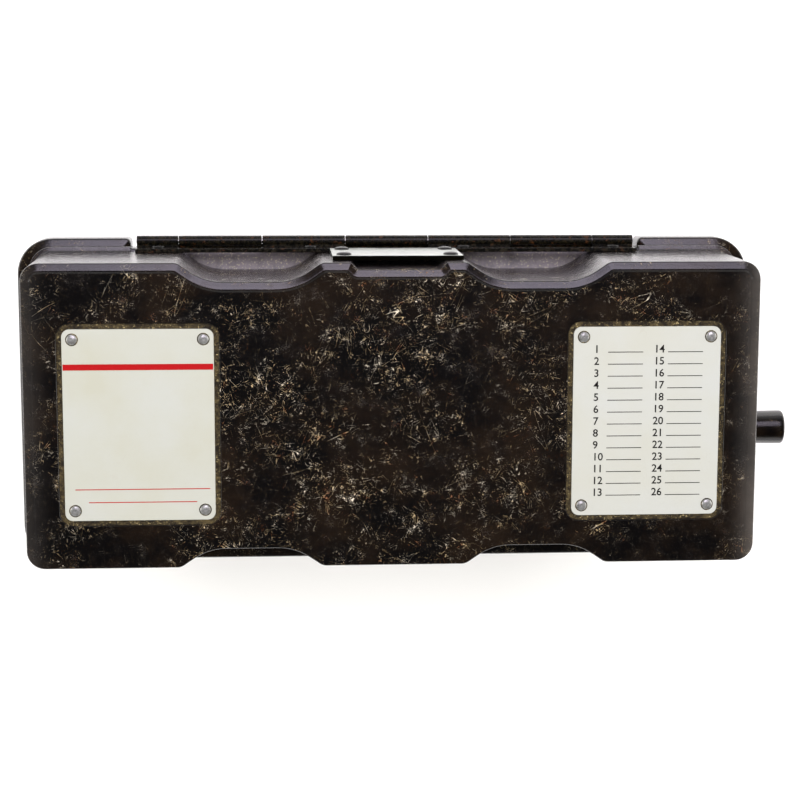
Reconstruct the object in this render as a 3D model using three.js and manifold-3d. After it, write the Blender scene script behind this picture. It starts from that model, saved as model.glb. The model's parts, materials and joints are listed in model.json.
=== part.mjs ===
// Field telephone in a moulded case, lid closed, standing on its base. Millimetres, +Z up.
// The origin is the middle of the underside. +X is the crank side, +Y the hinge side.
import * as THREE from 'three';
import { mergeVertices } from 'three/addons/utils/BufferGeometryUtils.js';
import Module from 'manifold-3d';

const wasm = await Module();
wasm.setup();

// Clearances
const GAP = 0.3; // round a piece in its hole or slot
const SEAT = 0.1; // under a piece on its flat seat

// Case: lid, rim and tub
const RIM_WIDTH = 297;
const RIM_DEPTH = 128.5;
const RIM_FRONT = 0.028 * RIM_DEPTH; // the rim reaches further out on the latch side
const RIM_HEIGHT = 14;
const RIM_CORNER = 14.4;
const LID_WIDTH = RIM_WIDTH - 16;
const LID_DEPTH = RIM_DEPTH - 11.5;
const LID_HEIGHT = 55;
const LID_WALL = 4;
const LID_ROOF = 5;
const LID_CORNER = 7;
const LID_DRAFT = 0.6; // degrees
const LID_FLANGE = { reach: 2.1, height: 2.7 }; // round the lower edge, open at the hinge and the latch
const BORDER_WIDTH = 2.8; // raised edge round the lid's face
const BORDER_RISE = 1;
const SEAM_HEIGHT = 150; // floor to the lid's lower edge
const TUB_WIDTH = RIM_WIDTH - 26; // just under the rim
const TUB_DEPTH = RIM_DEPTH - 21.5;
const TUB_CORNER = 12;
const TUB_WALL = 4;
const TUB_DRAFT = 2; // degrees

// Finger scoops in the lid's long sides
const SCOOP_X = 54.8;
const SCOOP_FLAT = 27;
const SCOOP_RADIUS = 10;
const SCOOP_SLOPE = 34; // degrees
const SCOOP_DEPTH = 7.2;

// Slot plate on the lid's hinge side, over a recess
const SLOT_PLATE = { width: 50, height: 37, thickness: 1.7, below: 7 };
const SLOT_WIDTH = 34;
const SLOT_DEPTH = 2.6;
const SLOT_BACKING = 3; // extra wall behind the recess
const SLOT_X = 1.7; // the slot sits a little towards the crank
const SLOT_RIVET = { x: 20.5, inset: 6, shank: 1.4 };

// Writing plates on the lid's face
const PLATE = { x: 97, y: -3, width: 57, depth: LID_DEPTH - 43.6, thickness: 0.8, corner: 3 };
const PLATE_RECESS = { margin: 2, depth: 0.6 };
const PLATE_RIVET = { inset: 3.9, shank: 1.1, depth: 1.6 };

// Lid hinge
const HINGE_LENGTH = 201;
const HINGE_ROOM = 2.5; // from each end of the hinge to the rim's ear
const HINGE_CUT = 4; // rim cut away behind the hinge
const HINGE_OFFSET = 3; // barrel centre outside the cut face
const BARREL_RADIUS = 2.1;
const PIN_RADIUS = 1;
const LEAF_THICKNESS = 1.5;
const LEAF_HEIGHT = 10;
const KNUCKLE_PITCHES = 6;
const HINGE_SCREW = { outer: 91.6, inner: 30.8, shank: 1.3, length: 3.2, below: 5.5 };

// Sliding latch on the front
const LATCH_NOTCH = { width: 62, depth: 4.3 };
const LATCH_PLATE = { width: 24, thickness: 1.7, above: 15, below: 11 };
const LATCH_TRAVEL = 8;
const KEEPER = { x: 8, above: 9, post: 2, head: 4, headThickness: 1.2 };
const LATCH_GUIDE = { height: 6, thickness: 1.3, end: 3 };

// Inner panel and what stands on it
const PANEL_DROP = 19; // seam down to the panel's top
const PANEL_THICKNESS = 3;
const PANEL_CORNER = 7;
const PANEL_POST = { x: TUB_WIDTH / 2 - 12.5, y: TUB_DEPTH / 2 - 12.5, radius: 5.5 };
const PANEL_SCREW = { shank: 1.5, length: 10 };
const SELECTOR = { x: -34, radius: 12, height: 13, shaft: 3 };
const TEST_BUTTON = { x: -6, radius: 6, height: 4.5, stem: 3, travel: 3 };
const INDICATOR = { x: 22, radius: 12, window: 9.3, rise: 3, box: 24, depth: 19 };
const TERMINAL = { xs: [56, 80, 104], base: 9, rise: 4, cap: 7, height: 6, stem: 3, strip: 6, travel: 4 };
const SWITCH_BLOCK = { depth: 22, drop: 19 };
const TERMINAL_BLOCK = { depth: 22, drop: 11 };
const PANEL_GLAND = { x: 120, y: -6, radius: 6, bore: 2.6, rise: 5 };

// Battery compartment
const BATTERY = { x: -88, width: 58, depth: 0.28 * TUB_DEPTH, height: 66, wall: 1.6, cell: 0.1215 * TUB_DEPTH, cellHeight: 50 };
const DOOR = { width: 60, depth: BATTERY.depth - 1, thickness: 2.5, pivot: 1.6, pin: 0.8 };
// The controls, the terminals and the battery door stand in one row along the front
const CONTROL_Y = BATTERY.depth / 2 + 7.5 - TUB_DEPTH / 2;

// Handset
const CAP_X = 84;
const CAP_RADIUS = 0.243 * TUB_DEPTH;
const HANDSET_Y = TUB_DEPTH / 2 - CAP_RADIUS - 11.75;
const CAP_HEIGHT = 12;
const CAP_WALL = 3;
const HOUSING_RADIUS = CAP_RADIUS - 1;
const HOUSING_HEIGHT = 16;
const HANDLE = { width: 24, top: 54, shoulder: 45, under: 36 };
const TALK_KEY = { length: 60, width: 9, depth: 7, proud: 3, travel: 2.5 };
const CRADLE = { wall: 3.5, height: 4 };
const HOOK = { offset: 16, radius: 4, travel: 5, drop: 18 };

// Crank and generator
const CRANK_Y = TUB_DEPTH / 2 - 33.75;
const CRANK_Z = SEAM_HEIGHT - 69;
const CRANK_ARM = 46;
const ARM_THICKNESS = 6;
const ARM_END = { shaft: 9, grip: 6.5 }; // radii
const ARM_CLEAR = 6; // tub wall to the arm
const SHAFT_RADIUS = 4;
const BUSH = { radius: 6, flange: 9, flangeThickness: 2.4 };
const GRIP = { length: 36.5, radius: 6.8, neck: 5.6, pin: 2.4, floor: 4 };
const MODULE = 1.5; // gear tooth module
const GEAR_TEETH = 32;
const PINION_TEETH = 8;
const GEAR_WIDTH = 5;
const GENERATOR = { inner: 60, outer: 115, plate: 3, top: 31, low: 27 };
const ARMATURE = { radius: 13, length: 34, shaft: 2.5 };
const MAGNET = { half: 0.215 * TUB_DEPTH, strap: 2, count: 3, spacing: 0.8 };

// Induction coil under the panel, and the capacitor on the floor
const COIL = { x: 37, y: TUB_DEPTH / 2 - 30.5, width: 30, depth: 26, height: 26, cheek: 2, flange: 4 };
const CAPACITOR = { x: -15, y: 0, width: 50, depth: 36, height: 30 };

// Ringer
const RINGER = { x: -30, y: TUB_DEPTH / 2 - 33.5, spread: 23.5, gong: 19, gongHeight: 12, gongWall: 1.5 };
const RINGER_DROP = { coil: 18, pivot: 25, gong: 32, ball: 43 };
const WINDING = { radius: 7, core: 5, tie: 3 };
const CLAPPER = { ball: 2.2, rod: 0.9, half: 16, thickness: 2, width: 8, pin: 1.4 };

// Worked out from the sizes above
const rad = THREE.MathUtils.degToRad;
const lidSlope = Math.tan(rad(LID_DRAFT));
const tubSlope = Math.tan(rad(TUB_DRAFT));
const rimFoot = SEAM_HEIGHT - RIM_HEIGHT;
const panelTop = SEAM_HEIGHT - PANEL_DROP;
const panelFoot = panelTop - PANEL_THICKNESS;
const underPanel = panelFoot - SEAT;
const hingeFace = RIM_DEPTH / 2 - HINGE_CUT;
const hingeY = hingeFace + HINGE_OFFSET;
const lidSeamDepth = LID_DEPTH / 2 + LID_HEIGHT * lidSlope;
const tubWallX = (z) => TUB_WIDTH / 2 - (rimFoot - z) * tubSlope;
const gearRadius = (MODULE * GEAR_TEETH) / 2;
const pinionRadius = (MODULE * PINION_TEETH) / 2;
const armX = tubWallX(CRANK_Z) + ARM_CLEAR;

// Materials
const finish = (color, roughness, metalness) =>
  new THREE.MeshStandardMaterial({ color, roughness, metalness });
const bakelite = finish(0x2a2422, 0.3, 0);
const enamel = finish(0xe2e2d8, 0.4, 0);
const steel = finish(0x8f8d88, 0.4, 1);
const darkSteel = finish(0x3a3a34, 0.5, 0.8);
const brass = finish(0xb08d4a, 0.35, 1);
const rubber = finish(0x1c1c1c, 0.8, 0);
const glass = finish(0xd8e4e0, 0.05, 0);
const zinc = finish(0xa3a6a4, 0.45, 1);
const redLacquer = finish(0xb3261e, 0.5, 0);
const copperWinding = finish(0x8a4a2c, 0.5, 0.6);
const card = finish(0x6e5a3c, 0.9, 0);

// Solids: a geometry becomes a closed solid, and solids are joined and cut
function toSolid(geometry) {
  const bare = geometry.clone();
  bare.deleteAttribute('normal');
  bare.deleteAttribute('uv');
  const merged = mergeVertices(bare);
  const vertProperties = new Float32Array(merged.attributes.position.array);
  const triVerts = new Uint32Array(merged.index.array);
  return new wasm.Manifold(new wasm.Mesh({ numProp: 3, vertProperties, triVerts }));
}

function toGeometry(solid) {
  const mesh = solid.getMesh();
  const geometry = new THREE.BufferGeometry();
  geometry.setAttribute('position', new THREE.BufferAttribute(new Float32Array(mesh.vertProperties), 3));
  geometry.setIndex(new THREE.BufferAttribute(new Uint32Array(mesh.triVerts), 1));
  geometry.computeVertexNormals();
  return geometry;
}

const join = (...solids) => solids.reduce((whole, solid) => whole.add(solid));
const cut = (whole, ...tools) => tools.reduce((rest, tool) => rest.subtract(tool), whole);

function block(x0, x1, y0, y1, z0, z1) {
  const geometry = new THREE.BoxGeometry(x1 - x0, y1 - y0, z1 - z0);
  return toSolid(geometry.translate((x0 + x1) / 2, (y0 + y1) / 2, (z0 + z1) / 2));
}

// A round bar from low to high along the named axis, through the point given
function bar(axis, radius, low, high, [x, y, z] = [0, 0, 0], sides = 18) {
  const geometry = new THREE.CylinderGeometry(radius, radius, high - low, sides);
  const middle = (low + high) / 2;
  if (axis === 'x') geometry.rotateZ(-Math.PI / 2).translate(middle, y, z);
  if (axis === 'y') geometry.translate(x, middle, z);
  if (axis === 'z') geometry.rotateX(Math.PI / 2).translate(x, y, middle);
  return toSolid(geometry);
}

function pipe(axis, radius, bore, low, high, place, sides = 18) {
  return cut(bar(axis, radius, low, high, place, sides), bar(axis, bore, low - 1, high + 1, place, sides));
}

// A turned piece on the Z axis, from a closed profile of [radius, height] points
function turned(points, sides = 32) {
  const profile = points.map(([r, z]) => new THREE.Vector2(r, z));
  return toSolid(new THREE.LatheGeometry(profile, sides).rotateX(Math.PI / 2));
}

// An outline in X and Y raised from low to high
function slab(shape, low, high, curveSegments = 3) {
  const geometry = new THREE.ExtrudeGeometry(shape, { depth: high - low, bevelEnabled: false, curveSegments });
  return geometry.translate(0, 0, low);
}

// Draft: the outline grows by slope for each millimetre below the height given
function drafted(geometry, height, slope, halfWidth, halfDepth) {
  const points = geometry.attributes.position;
  for (let i = 0; i < points.count; i += 1) {
    const growth = (height - points.getZ(i)) * slope;
    points.setX(i, points.getX(i) * (1 + growth / halfWidth));
    points.setY(i, points.getY(i) * (1 + growth / halfDepth));
  }
  return geometry;
}

function roundedRect(width, depth, radius) {
  const x = width / 2 - radius;
  const y = depth / 2 - radius;
  const shape = new THREE.Shape();
  shape.absarc(x, -y, radius, rad(-90), 0, false);
  shape.absarc(x, y, radius, 0, rad(90), false);
  shape.absarc(-x, y, radius, rad(90), rad(180), false);
  shape.absarc(-x, -y, radius, rad(180), rad(270), false);
  shape.closePath();
  return shape;
}

function node(parent, name, solid, material, place = [0, 0, 0]) {
  const mesh = new THREE.Mesh(toGeometry(solid), material);
  mesh.name = name;
  mesh.position.set(...place);
  parent.add(mesh);
  return mesh;
}

// The lid's outline, drawn in by inset. A scoop's floor meets its straight slopes in arcs.
function addScoop(shape, x, side, inset) {
  const radius = SCOOP_RADIUS + inset;
  const sweep = rad(SCOOP_SLOPE);
  const wallY = LID_DEPTH / 2 - inset;
  const centreY = LID_DEPTH / 2 - SCOOP_DEPTH + SCOOP_RADIUS;
  const slopeDepth = wallY - centreY + radius * Math.cos(sweep);
  const reach = SCOOP_FLAT / 2 + radius * Math.sin(sweep) + slopeDepth / Math.tan(sweep);
  const down = side < 0 ? rad(90) : rad(270);
  const start = [x + side * reach, side * wallY];
  if (shape.curves.length) shape.lineTo(...start);
  else shape.moveTo(...start);
  shape.absarc(x + (side * SCOOP_FLAT) / 2, side * centreY, radius, down + sweep, down, true);
  shape.absarc(x - (side * SCOOP_FLAT) / 2, side * centreY, radius, down, down - sweep, true);
  shape.lineTo(x - side * reach, side * wallY);
}

function lidOutline(inset, slotted) {
  const radius = Math.max(LID_CORNER - inset, 1);
  const halfWidth = LID_WIDTH / 2 - inset;
  const halfDepth = LID_DEPTH / 2 - inset;
  const shape = new THREE.Shape();
  addScoop(shape, -SCOOP_X, -1, inset);
  addScoop(shape, SCOOP_X, -1, inset);
  shape.absarc(halfWidth - radius, radius - halfDepth, radius, rad(-90), 0, false);
  shape.absarc(halfWidth - radius, halfDepth - radius, radius, 0, rad(90), false);
  addScoop(shape, SCOOP_X, 1, inset);
  if (slotted) {
    const outer = SLOT_WIDTH / 2 + inset + SLOT_DEPTH / 2;
    const inner = SLOT_WIDTH / 2 + inset - SLOT_DEPTH / 2;
    shape.lineTo(outer, halfDepth);
    shape.lineTo(inner, halfDepth - SLOT_DEPTH);
    shape.lineTo(-inner, halfDepth - SLOT_DEPTH);
    shape.lineTo(-outer, halfDepth);
  }
  addScoop(shape, -SCOOP_X, 1, inset);
  shape.absarc(radius - halfWidth, halfDepth - radius, radius, rad(90), rad(180), false);
  shape.absarc(radius - halfWidth, radius - halfDepth, radius, rad(180), rad(270), false);
  shape.closePath();
  return shape;
}

const lidSlab = (inset, slotted, low, high) =>
  toSolid(drafted(slab(lidOutline(inset, slotted), low, high), LID_HEIGHT, lidSlope, LID_WIDTH / 2, LID_DEPTH / 2));

// Places repeated on the lid
const signs = [-1, 1];
const plateRivets = signs.flatMap((plate) =>
  signs.flatMap((sx) =>
    signs.map((sy) => [
      plate * PLATE.x + sx * (PLATE.width / 2 - PLATE_RIVET.inset),
      PLATE.y + sy * (PLATE.depth / 2 - PLATE_RIVET.inset),
    ]),
  ),
);
const hingeScrewXs = signs.flatMap((s) => [s * HINGE_SCREW.outer, s * HINGE_SCREW.inner]);

const faceZ = LID_HEIGHT - BORDER_RISE;
const plateSeat = faceZ - PLATE_RECESS.depth;
const slotTop = LID_HEIGHT - SLOT_PLATE.below;
const slotFoot = slotTop - SLOT_PLATE.height;

// The slot plate lies on the drafted wall, so its group is turned by the draft.
// In the group, Z runs up the wall and Y out of it, from the wall's top edge.
function slotRivetPlaces() {
  const { x, inset } = SLOT_RIVET;
  return signs.flatMap((s) => [
    [SLOT_X + s * x, slotTop - LID_HEIGHT - inset],
    [SLOT_X + s * x, slotFoot - LID_HEIGHT + inset],
  ]);
}

function lidShell() {
  const cavity = lidSlab(LID_WALL, false, -1, LID_HEIGHT - LID_ROOF);
  const half = SLOT_WIDTH / 2;
  const backing = block(
    SLOT_X - half - SLOT_DEPTH, SLOT_X + half + SLOT_DEPTH,
    LID_DEPTH / 2 - LID_WALL - SLOT_BACKING, LID_DEPTH / 2 - LID_WALL / 2,
    slotFoot, LID_HEIGHT - LID_ROOF / 2,
  );
  const recess = new THREE.Shape();
  const deepest = LID_DEPTH / 2 - SLOT_DEPTH;
  const outside = lidSeamDepth + 1;
  recess.moveTo(-half + SLOT_DEPTH / 2, deepest);
  recess.lineTo(half - SLOT_DEPTH / 2, deepest);
  recess.lineTo(half + SLOT_DEPTH / 2, LID_DEPTH / 2);
  recess.lineTo(half + SLOT_DEPTH / 2, outside);
  recess.lineTo(-half - SLOT_DEPTH / 2, outside);
  recess.lineTo(-half - SLOT_DEPTH / 2, LID_DEPTH / 2);
  recess.closePath();
  const hingeHalf = HINGE_LENGTH / 2 + HINGE_ROOM;
  const latchHalf = LATCH_NOTCH.width / 2;
  const flange = cut(
    lidSlab(-LID_FLANGE.reach, false, 0, LID_FLANGE.height),
    block(-hingeHalf, hingeHalf, lidSeamDepth, RIM_DEPTH, -1, LID_HEIGHT),
    block(-latchHalf, latchHalf, -RIM_DEPTH, -lidSeamDepth, -1, LID_HEIGHT),
  );
  let shell = cut(
    join(cut(join(lidSlab(0, false, 0, LID_HEIGHT), flange), cavity), backing),
    lidSlab(BORDER_WIDTH, true, faceZ, LID_HEIGHT + 1),
    toSolid(slab(recess, slotFoot + SLOT_BACKING, LID_HEIGHT + 1).translate(SLOT_X, 0, 0)),
  );
  const recessWidth = PLATE.width + 2 * PLATE_RECESS.margin;
  const recessDepth = PLATE.depth + 2 * PLATE_RECESS.margin;
  const frame = roundedRect(recessWidth, recessDepth, PLATE.corner + PLATE_RECESS.margin);
  for (const s of signs) {
    shell = cut(shell, toSolid(slab(frame, plateSeat, LID_HEIGHT + 1).translate(s * PLATE.x, PLATE.y, 0)));
  }
  for (const [x, y] of plateRivets) {
    const hole = bar('z', PLATE_RIVET.shank + GAP, plateSeat - PLATE_RIVET.depth - GAP, LID_HEIGHT, [x, y, 0], 8);
    shell = cut(shell, hole);
  }
  for (const x of hingeScrewXs) {
    const inner = lidSeamDepth - HINGE_SCREW.length;
    shell = cut(shell, bar('y', HINGE_SCREW.shank + GAP, inner, lidSeamDepth + 1, [x, 0, HINGE_SCREW.below], 8));
  }
  for (const [x, z] of slotRivetPlaces()) {
    const wallY = LID_DEPTH / 2 - z * lidSlope;
    const hole = bar('y', SLOT_RIVET.shank + GAP, wallY - SLOT_DEPTH, wallY + 1, [x, 0, LID_HEIGHT + z], 8);
    shell = cut(shell, hole);
  }
  const keeperHole = bar('y', KEEPER.post + GAP, -lidSeamDepth - 1, -lidSeamDepth + LID_WALL / 2,
    [KEEPER.x, 0, KEEPER.above], 16);
  return cut(shell, keeperHole);
}

// A writing plate, centred on its own middle
function writingPlate() {
  let plate = toSolid(slab(roundedRect(PLATE.width, PLATE.depth, PLATE.corner), 0, PLATE.thickness));
  for (const sx of signs) {
    for (const sy of signs) {
      const x = sx * (PLATE.width / 2 - PLATE_RIVET.inset);
      const y = sy * (PLATE.depth / 2 - PLATE_RIVET.inset);
      plate = cut(plate, bar('z', PLATE_RIVET.shank + GAP, -1, PLATE.thickness + 1, [x, y, 0], 8));
    }
  }
  return plate;
}

// Copies of a solid at several places, joined
function repeated(solid, places) {
  const geometry = toGeometry(solid);
  return join(...places.map(([x, y, z]) => toSolid(geometry.clone().translate(x, y, z))));
}

// Knuckles run along X. Even ones belong to the lid, odd ones to the case.
function hingeLeaf(owner) {
  const pitch = HINGE_LENGTH / KNUCKLE_PITCHES;
  const room = BARREL_RADIUS + GAP;
  const up = owner === 0 ? 1 : -1;
  const seatY = owner === 0 ? lidSeamDepth - hingeY : hingeFace - hingeY;
  const strip = (x0, x1, near) => {
    const [low, high] = [up * near, up * (LEAF_HEIGHT + GAP)].sort((a, b) => a - b);
    return block(x0, x1, seatY + SEAT, seatY + SEAT + LEAF_THICKNESS, low, high);
  };
  let leaf = strip(-HINGE_LENGTH / 2, HINGE_LENGTH / 2, room);
  for (let i = 0; i <= KNUCKLE_PITCHES; i += 1) {
    if (i % 2 !== owner) continue;
    const x0 = Math.max((i - 0.5) * pitch, 0) - HINGE_LENGTH / 2 + GAP / 2;
    const x1 = Math.min((i + 0.5) * pitch, HINGE_LENGTH) - HINGE_LENGTH / 2 - GAP / 2;
    const web = [0, up * LEAF_THICKNESS].sort((a, b) => a - b);
    leaf = join(leaf, strip(x0, x1, 0), block(x0, x1, seatY + SEAT, 0, ...web),
      bar('x', BARREL_RADIUS, x0, x1, [0, 0, 0], 16));
  }
  leaf = cut(leaf, bar('x', PIN_RADIUS + GAP, -HINGE_LENGTH, HINGE_LENGTH, [0, 0, 0], 16));
  for (const x of hingeScrewXs) {
    const z = up * HINGE_SCREW.below;
    leaf = cut(leaf, bar('y', HINGE_SCREW.shank + GAP, -9, 9, [x, 0, z], 8));
  }
  return leaf;
}

// Lid: its origin is at the seam
const phone = new THREE.Group();
const lid = new THREE.Group();
lid.position.z = SEAM_HEIGHT;
phone.add(lid);

node(lid, 'lid_shell', cut(lidShell(), block(-999, 999, -999, 999, -9, GAP)), bakelite);
node(lid, 'writing_plate', writingPlate(), enamel, [-PLATE.x, PLATE.y, plateSeat + SEAT]);
node(lid, 'spelling_plate', writingPlate(), enamel, [PLATE.x, PLATE.y, plateSeat + SEAT]);

const slotGroup = new THREE.Group();
slotGroup.position.set(0, LID_DEPTH / 2, LID_HEIGHT);
slotGroup.rotation.x = rad(LID_DRAFT);
lid.add(slotGroup);
let slotPlate = block(
  SLOT_X - SLOT_PLATE.width / 2, SLOT_X + SLOT_PLATE.width / 2, GAP, GAP + SLOT_PLATE.thickness,
  slotFoot - LID_HEIGHT, slotTop - LID_HEIGHT,
);
for (const [x, z] of slotRivetPlaces()) slotPlate = cut(slotPlate, bar('y', SLOT_RIVET.shank + GAP, -9, 9, [x, 0, z], 8));
node(slotGroup, 'slot_plate', slotPlate, zinc);

node(lid, 'hinge_lid_leaf', hingeLeaf(0), darkSteel, [0, hingeY, 0]);

const keeperFace = -lidSeamDepth;
const latchPlateY = -hingeFace - LATCH_NOTCH.depth + HINGE_CUT + GAP;
const keeperHeadY = -RIM_DEPTH / 2 + GAP;
node(lid, 'latch_keeper', join(
  bar('y', KEEPER.post, keeperHeadY + 0.5, keeperFace + LID_WALL / 2 - GAP, [KEEPER.x, 0, KEEPER.above], 16),
  bar('y', KEEPER.head, keeperHeadY, keeperHeadY + KEEPER.headThickness, [KEEPER.x, 0, KEEPER.above], 20),
), steel);

// Case: rim and tub in one moulding
function caseBody() {
  const rimShape = roundedRect(RIM_WIDTH, RIM_DEPTH + RIM_FRONT, RIM_CORNER);
  const rim = toSolid(slab(rimShape, rimFoot, SEAM_HEIGHT, 4).translate(0, -RIM_FRONT / 2, 0));
  const tubForm = (inset, low, high) => {
    const outline = roundedRect(TUB_WIDTH - 2 * inset, TUB_DEPTH - 2 * inset, TUB_CORNER - inset);
    return toSolid(drafted(slab(outline, low, high, 4), rimFoot, -tubSlope, TUB_WIDTH / 2, TUB_DEPTH / 2));
  };
  const half = HINGE_LENGTH / 2 + HINGE_ROOM;
  let body = cut(
    join(rim, tubForm(0, 0, rimFoot + 1)),
    tubForm(TUB_WALL, TUB_WALL, SEAM_HEIGHT + 1),
    block(-half, half, hingeFace, RIM_DEPTH, rimFoot - 1, SEAM_HEIGHT + 1),
    block(-LATCH_NOTCH.width / 2, LATCH_NOTCH.width / 2, -RIM_DEPTH, -RIM_DEPTH / 2 + LATCH_NOTCH.depth,
      rimFoot - 1, SEAM_HEIGHT + 1),
  );
  for (const [x, y] of postPlaces) {
    const post = bar('z', PANEL_POST.radius, TUB_WALL / 2, underPanel, [x, y, 0], 16);
    const hole = bar('z', PANEL_SCREW.shank + GAP, underPanel - PANEL_SCREW.length, panelTop, [x, y, 0], 8);
    body = cut(join(body, post), hole);
  }
  for (const x of hingeScrewXs) {
    const z = SEAM_HEIGHT - HINGE_SCREW.below;
    body = cut(body, bar('y', HINGE_SCREW.shank + GAP, hingeFace - HINGE_SCREW.length, RIM_DEPTH, [x, 0, z], 8));
  }
  for (const s of signs) {
    const z = SEAM_HEIGHT - LATCH_PLATE.below + LATCH_GUIDE.height / 2;
    const x = s * guideScrewX;
    body = cut(body, bar('y', guideScrew.shank + GAP, -RIM_DEPTH, latchFloor + guideScrew.length, [x, 0, z], 8));
  }
  const wall = tubWallX(CRANK_Z);
  return cut(body, bar('x', BUSH.radius + GAP, wall - 3 * TUB_WALL, wall + TUB_WALL, [0, CRANK_Y, CRANK_Z]));
}

const postPlaces = signs.flatMap((sx) => signs.map((sy) => [sx * PANEL_POST.x, sy * PANEL_POST.y]));
const latchFloor = -RIM_DEPTH / 2 + LATCH_NOTCH.depth;
const guideScrew = { shank: 1, length: 3 };
const guideScrewX = LATCH_NOTCH.width / 2 - GAP - LATCH_GUIDE.end;

node(phone, 'case_body', caseBody(), bakelite);
node(phone, 'hinge_case_leaf', hingeLeaf(1), darkSteel, [0, hingeY, SEAM_HEIGHT]);
node(phone, 'hinge_pin',
  bar('x', PIN_RADIUS, -HINGE_LENGTH / 2, HINGE_LENGTH / 2, [0, 0, 0], 8), steel, [0, hingeY, SEAM_HEIGHT]);

// Latch: a plate with an open slot slides behind the keeper's head
const guideY = -RIM_DEPTH / 2 + GAP;
const slideY = guideY + LATCH_GUIDE.thickness + GAP;
const guideX = LATCH_NOTCH.width / 2 - GAP;
const guideZ = SEAM_HEIGHT - LATCH_PLATE.below;
const guideBar = block(-guideX, guideX, guideY, guideY + LATCH_GUIDE.thickness, guideZ, guideZ + LATCH_GUIDE.height);
let guide = guideBar;
for (const s of signs) {
  const end = s * guideX;
  const inner = s * (guideX - 2 * LATCH_GUIDE.end);
  guide = join(guide, block(Math.min(end, inner), Math.max(end, inner), guideY, latchFloor - SEAT, guideZ,
    guideZ + LATCH_GUIDE.height));
  guide = cut(guide, bar('y', guideScrew.shank + GAP, -99, -30,
    [s * guideScrewX, 0, guideZ + LATCH_GUIDE.height / 2], 8));
}
node(phone, 'latch_guide', guide, steel);

const slideEnd = KEEPER.x - KEEPER.post - 5;
const slideBack = slideY + LATCH_PLATE.thickness;
const thumbZ = guideZ + LATCH_GUIDE.height + 1.3;
node(phone, 'latch_slide', cut(
  join(
    block(slideEnd - LATCH_PLATE.width, slideEnd, slideY, slideBack,
      guideZ - 1, SEAM_HEIGHT + LATCH_PLATE.above),
    block(slideEnd - LATCH_PLATE.width + 4, slideEnd - 4, guideY, slideY + 0.5, thumbZ, thumbZ + 2.7),
  ),
  block(slideEnd - LATCH_TRAVEL, slideEnd + 1, slideY - 1, slideBack + 1,
    SEAM_HEIGHT + KEEPER.above - KEEPER.post - GAP, SEAM_HEIGHT + KEEPER.above + KEEPER.post + GAP),
), steel);

// Panel and its screws
const controlHoles = [
  [SELECTOR.x, SELECTOR.shaft], [TEST_BUTTON.x, TEST_BUTTON.stem], [INDICATOR.x, INDICATOR.window],
  ...TERMINAL.xs.map((x) => [x, TERMINAL.stem]),
];
const hookX = HOOK.offset - CAP_X;
function panelPlate() {
  const width = 2 * tubWallX(panelFoot) - 2 * TUB_WALL - 2 * GAP;
  const depth = width - (TUB_WIDTH - TUB_DEPTH);
  let plate = toSolid(slab(roundedRect(width, depth, PANEL_CORNER), panelFoot, panelTop));
  for (const [x, r] of controlHoles) plate = cut(plate, bar('z', r + GAP, 0, 199, [x, CONTROL_Y, 0], 12));
  for (const [x, y] of postPlaces) plate = cut(plate, bar('z', PANEL_SCREW.shank + GAP, 0, 199, [x, y, 0], 8));
  const opening = BATTERY.depth / 2 - BATTERY.wall;
  return cut(plate,
    bar('z', HOOK.radius + GAP, 0, 199, [hookX, HANDSET_Y, 0], 16),
    bar('z', PANEL_GLAND.radius - 2 + GAP, 0, 199, [PANEL_GLAND.x, PANEL_GLAND.y, 0], 16),
    block(BATTERY.x - BATTERY.width / 2 + 3, BATTERY.x + BATTERY.width / 2 - 3,
      CONTROL_Y - opening, CONTROL_Y + opening, 0, 199));
}
node(phone, 'inner_panel', panelPlate(), bakelite);

// Battery box, its door and two cells
const boxTop = underPanel;
const boxFoot = boxTop - BATTERY.height;
const batteryBox = cut(
  block(-BATTERY.width / 2, BATTERY.width / 2, -BATTERY.depth / 2, BATTERY.depth / 2, boxFoot, boxTop),
  block(-BATTERY.width / 2 + BATTERY.wall, BATTERY.width / 2 - BATTERY.wall,
    -BATTERY.depth / 2 + BATTERY.wall, BATTERY.depth / 2 - BATTERY.wall, boxFoot + BATTERY.wall, boxTop + 1),
);
node(phone, 'battery_box', batteryBox, bakelite, [BATTERY.x, CONTROL_Y, 0]);
const cellFoot = boxFoot + BATTERY.wall + GAP;
const cell = turned([
  [0, 0], [BATTERY.cell, 0], [BATTERY.cell, BATTERY.cellHeight - 2], [4, BATTERY.cellHeight - 2],
  [4, BATTERY.cellHeight], [0, BATTERY.cellHeight],
], 20);
const cellX = BATTERY.cell + GAP;
signs.forEach((s, i) => {
  node(phone, `battery_cell_${i + 1}`, cell, card, [BATTERY.x + s * cellX, CONTROL_Y, cellFoot]);
});

const doorZ = panelTop + SEAT;
const pivotZ = doorZ + DOOR.pivot;
const pivotY = CONTROL_Y + DOOR.depth / 2;
const doorHalf = DOOR.width / 2;
const eyeHalf = doorHalf - 10;
node(phone, 'battery_door', cut(
  join(
    block(-doorHalf, doorHalf, -DOOR.depth, -DOOR.pivot - GAP, -DOOR.pivot + SEAT, DOOR.thickness - DOOR.pivot),
    block(-eyeHalf, eyeHalf, -DOOR.pivot - 1, 0, -DOOR.pivot + 2 * SEAT, 0),
    bar('x', DOOR.pivot - SEAT, -eyeHalf, eyeHalf, [0, 0, 0], 16),
    block(-6, 6, -DOOR.depth, 2 - DOOR.depth, 0, DOOR.thickness),
  ),
  bar('x', DOOR.pin + GAP, -doorHalf, doorHalf, [0, 0, 0], 8),
), bakelite, [BATTERY.x, pivotY, pivotZ]);
let doorHinge = bar('x', DOOR.pin, -doorHalf, doorHalf, [0, 0, 0], 8);
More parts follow.
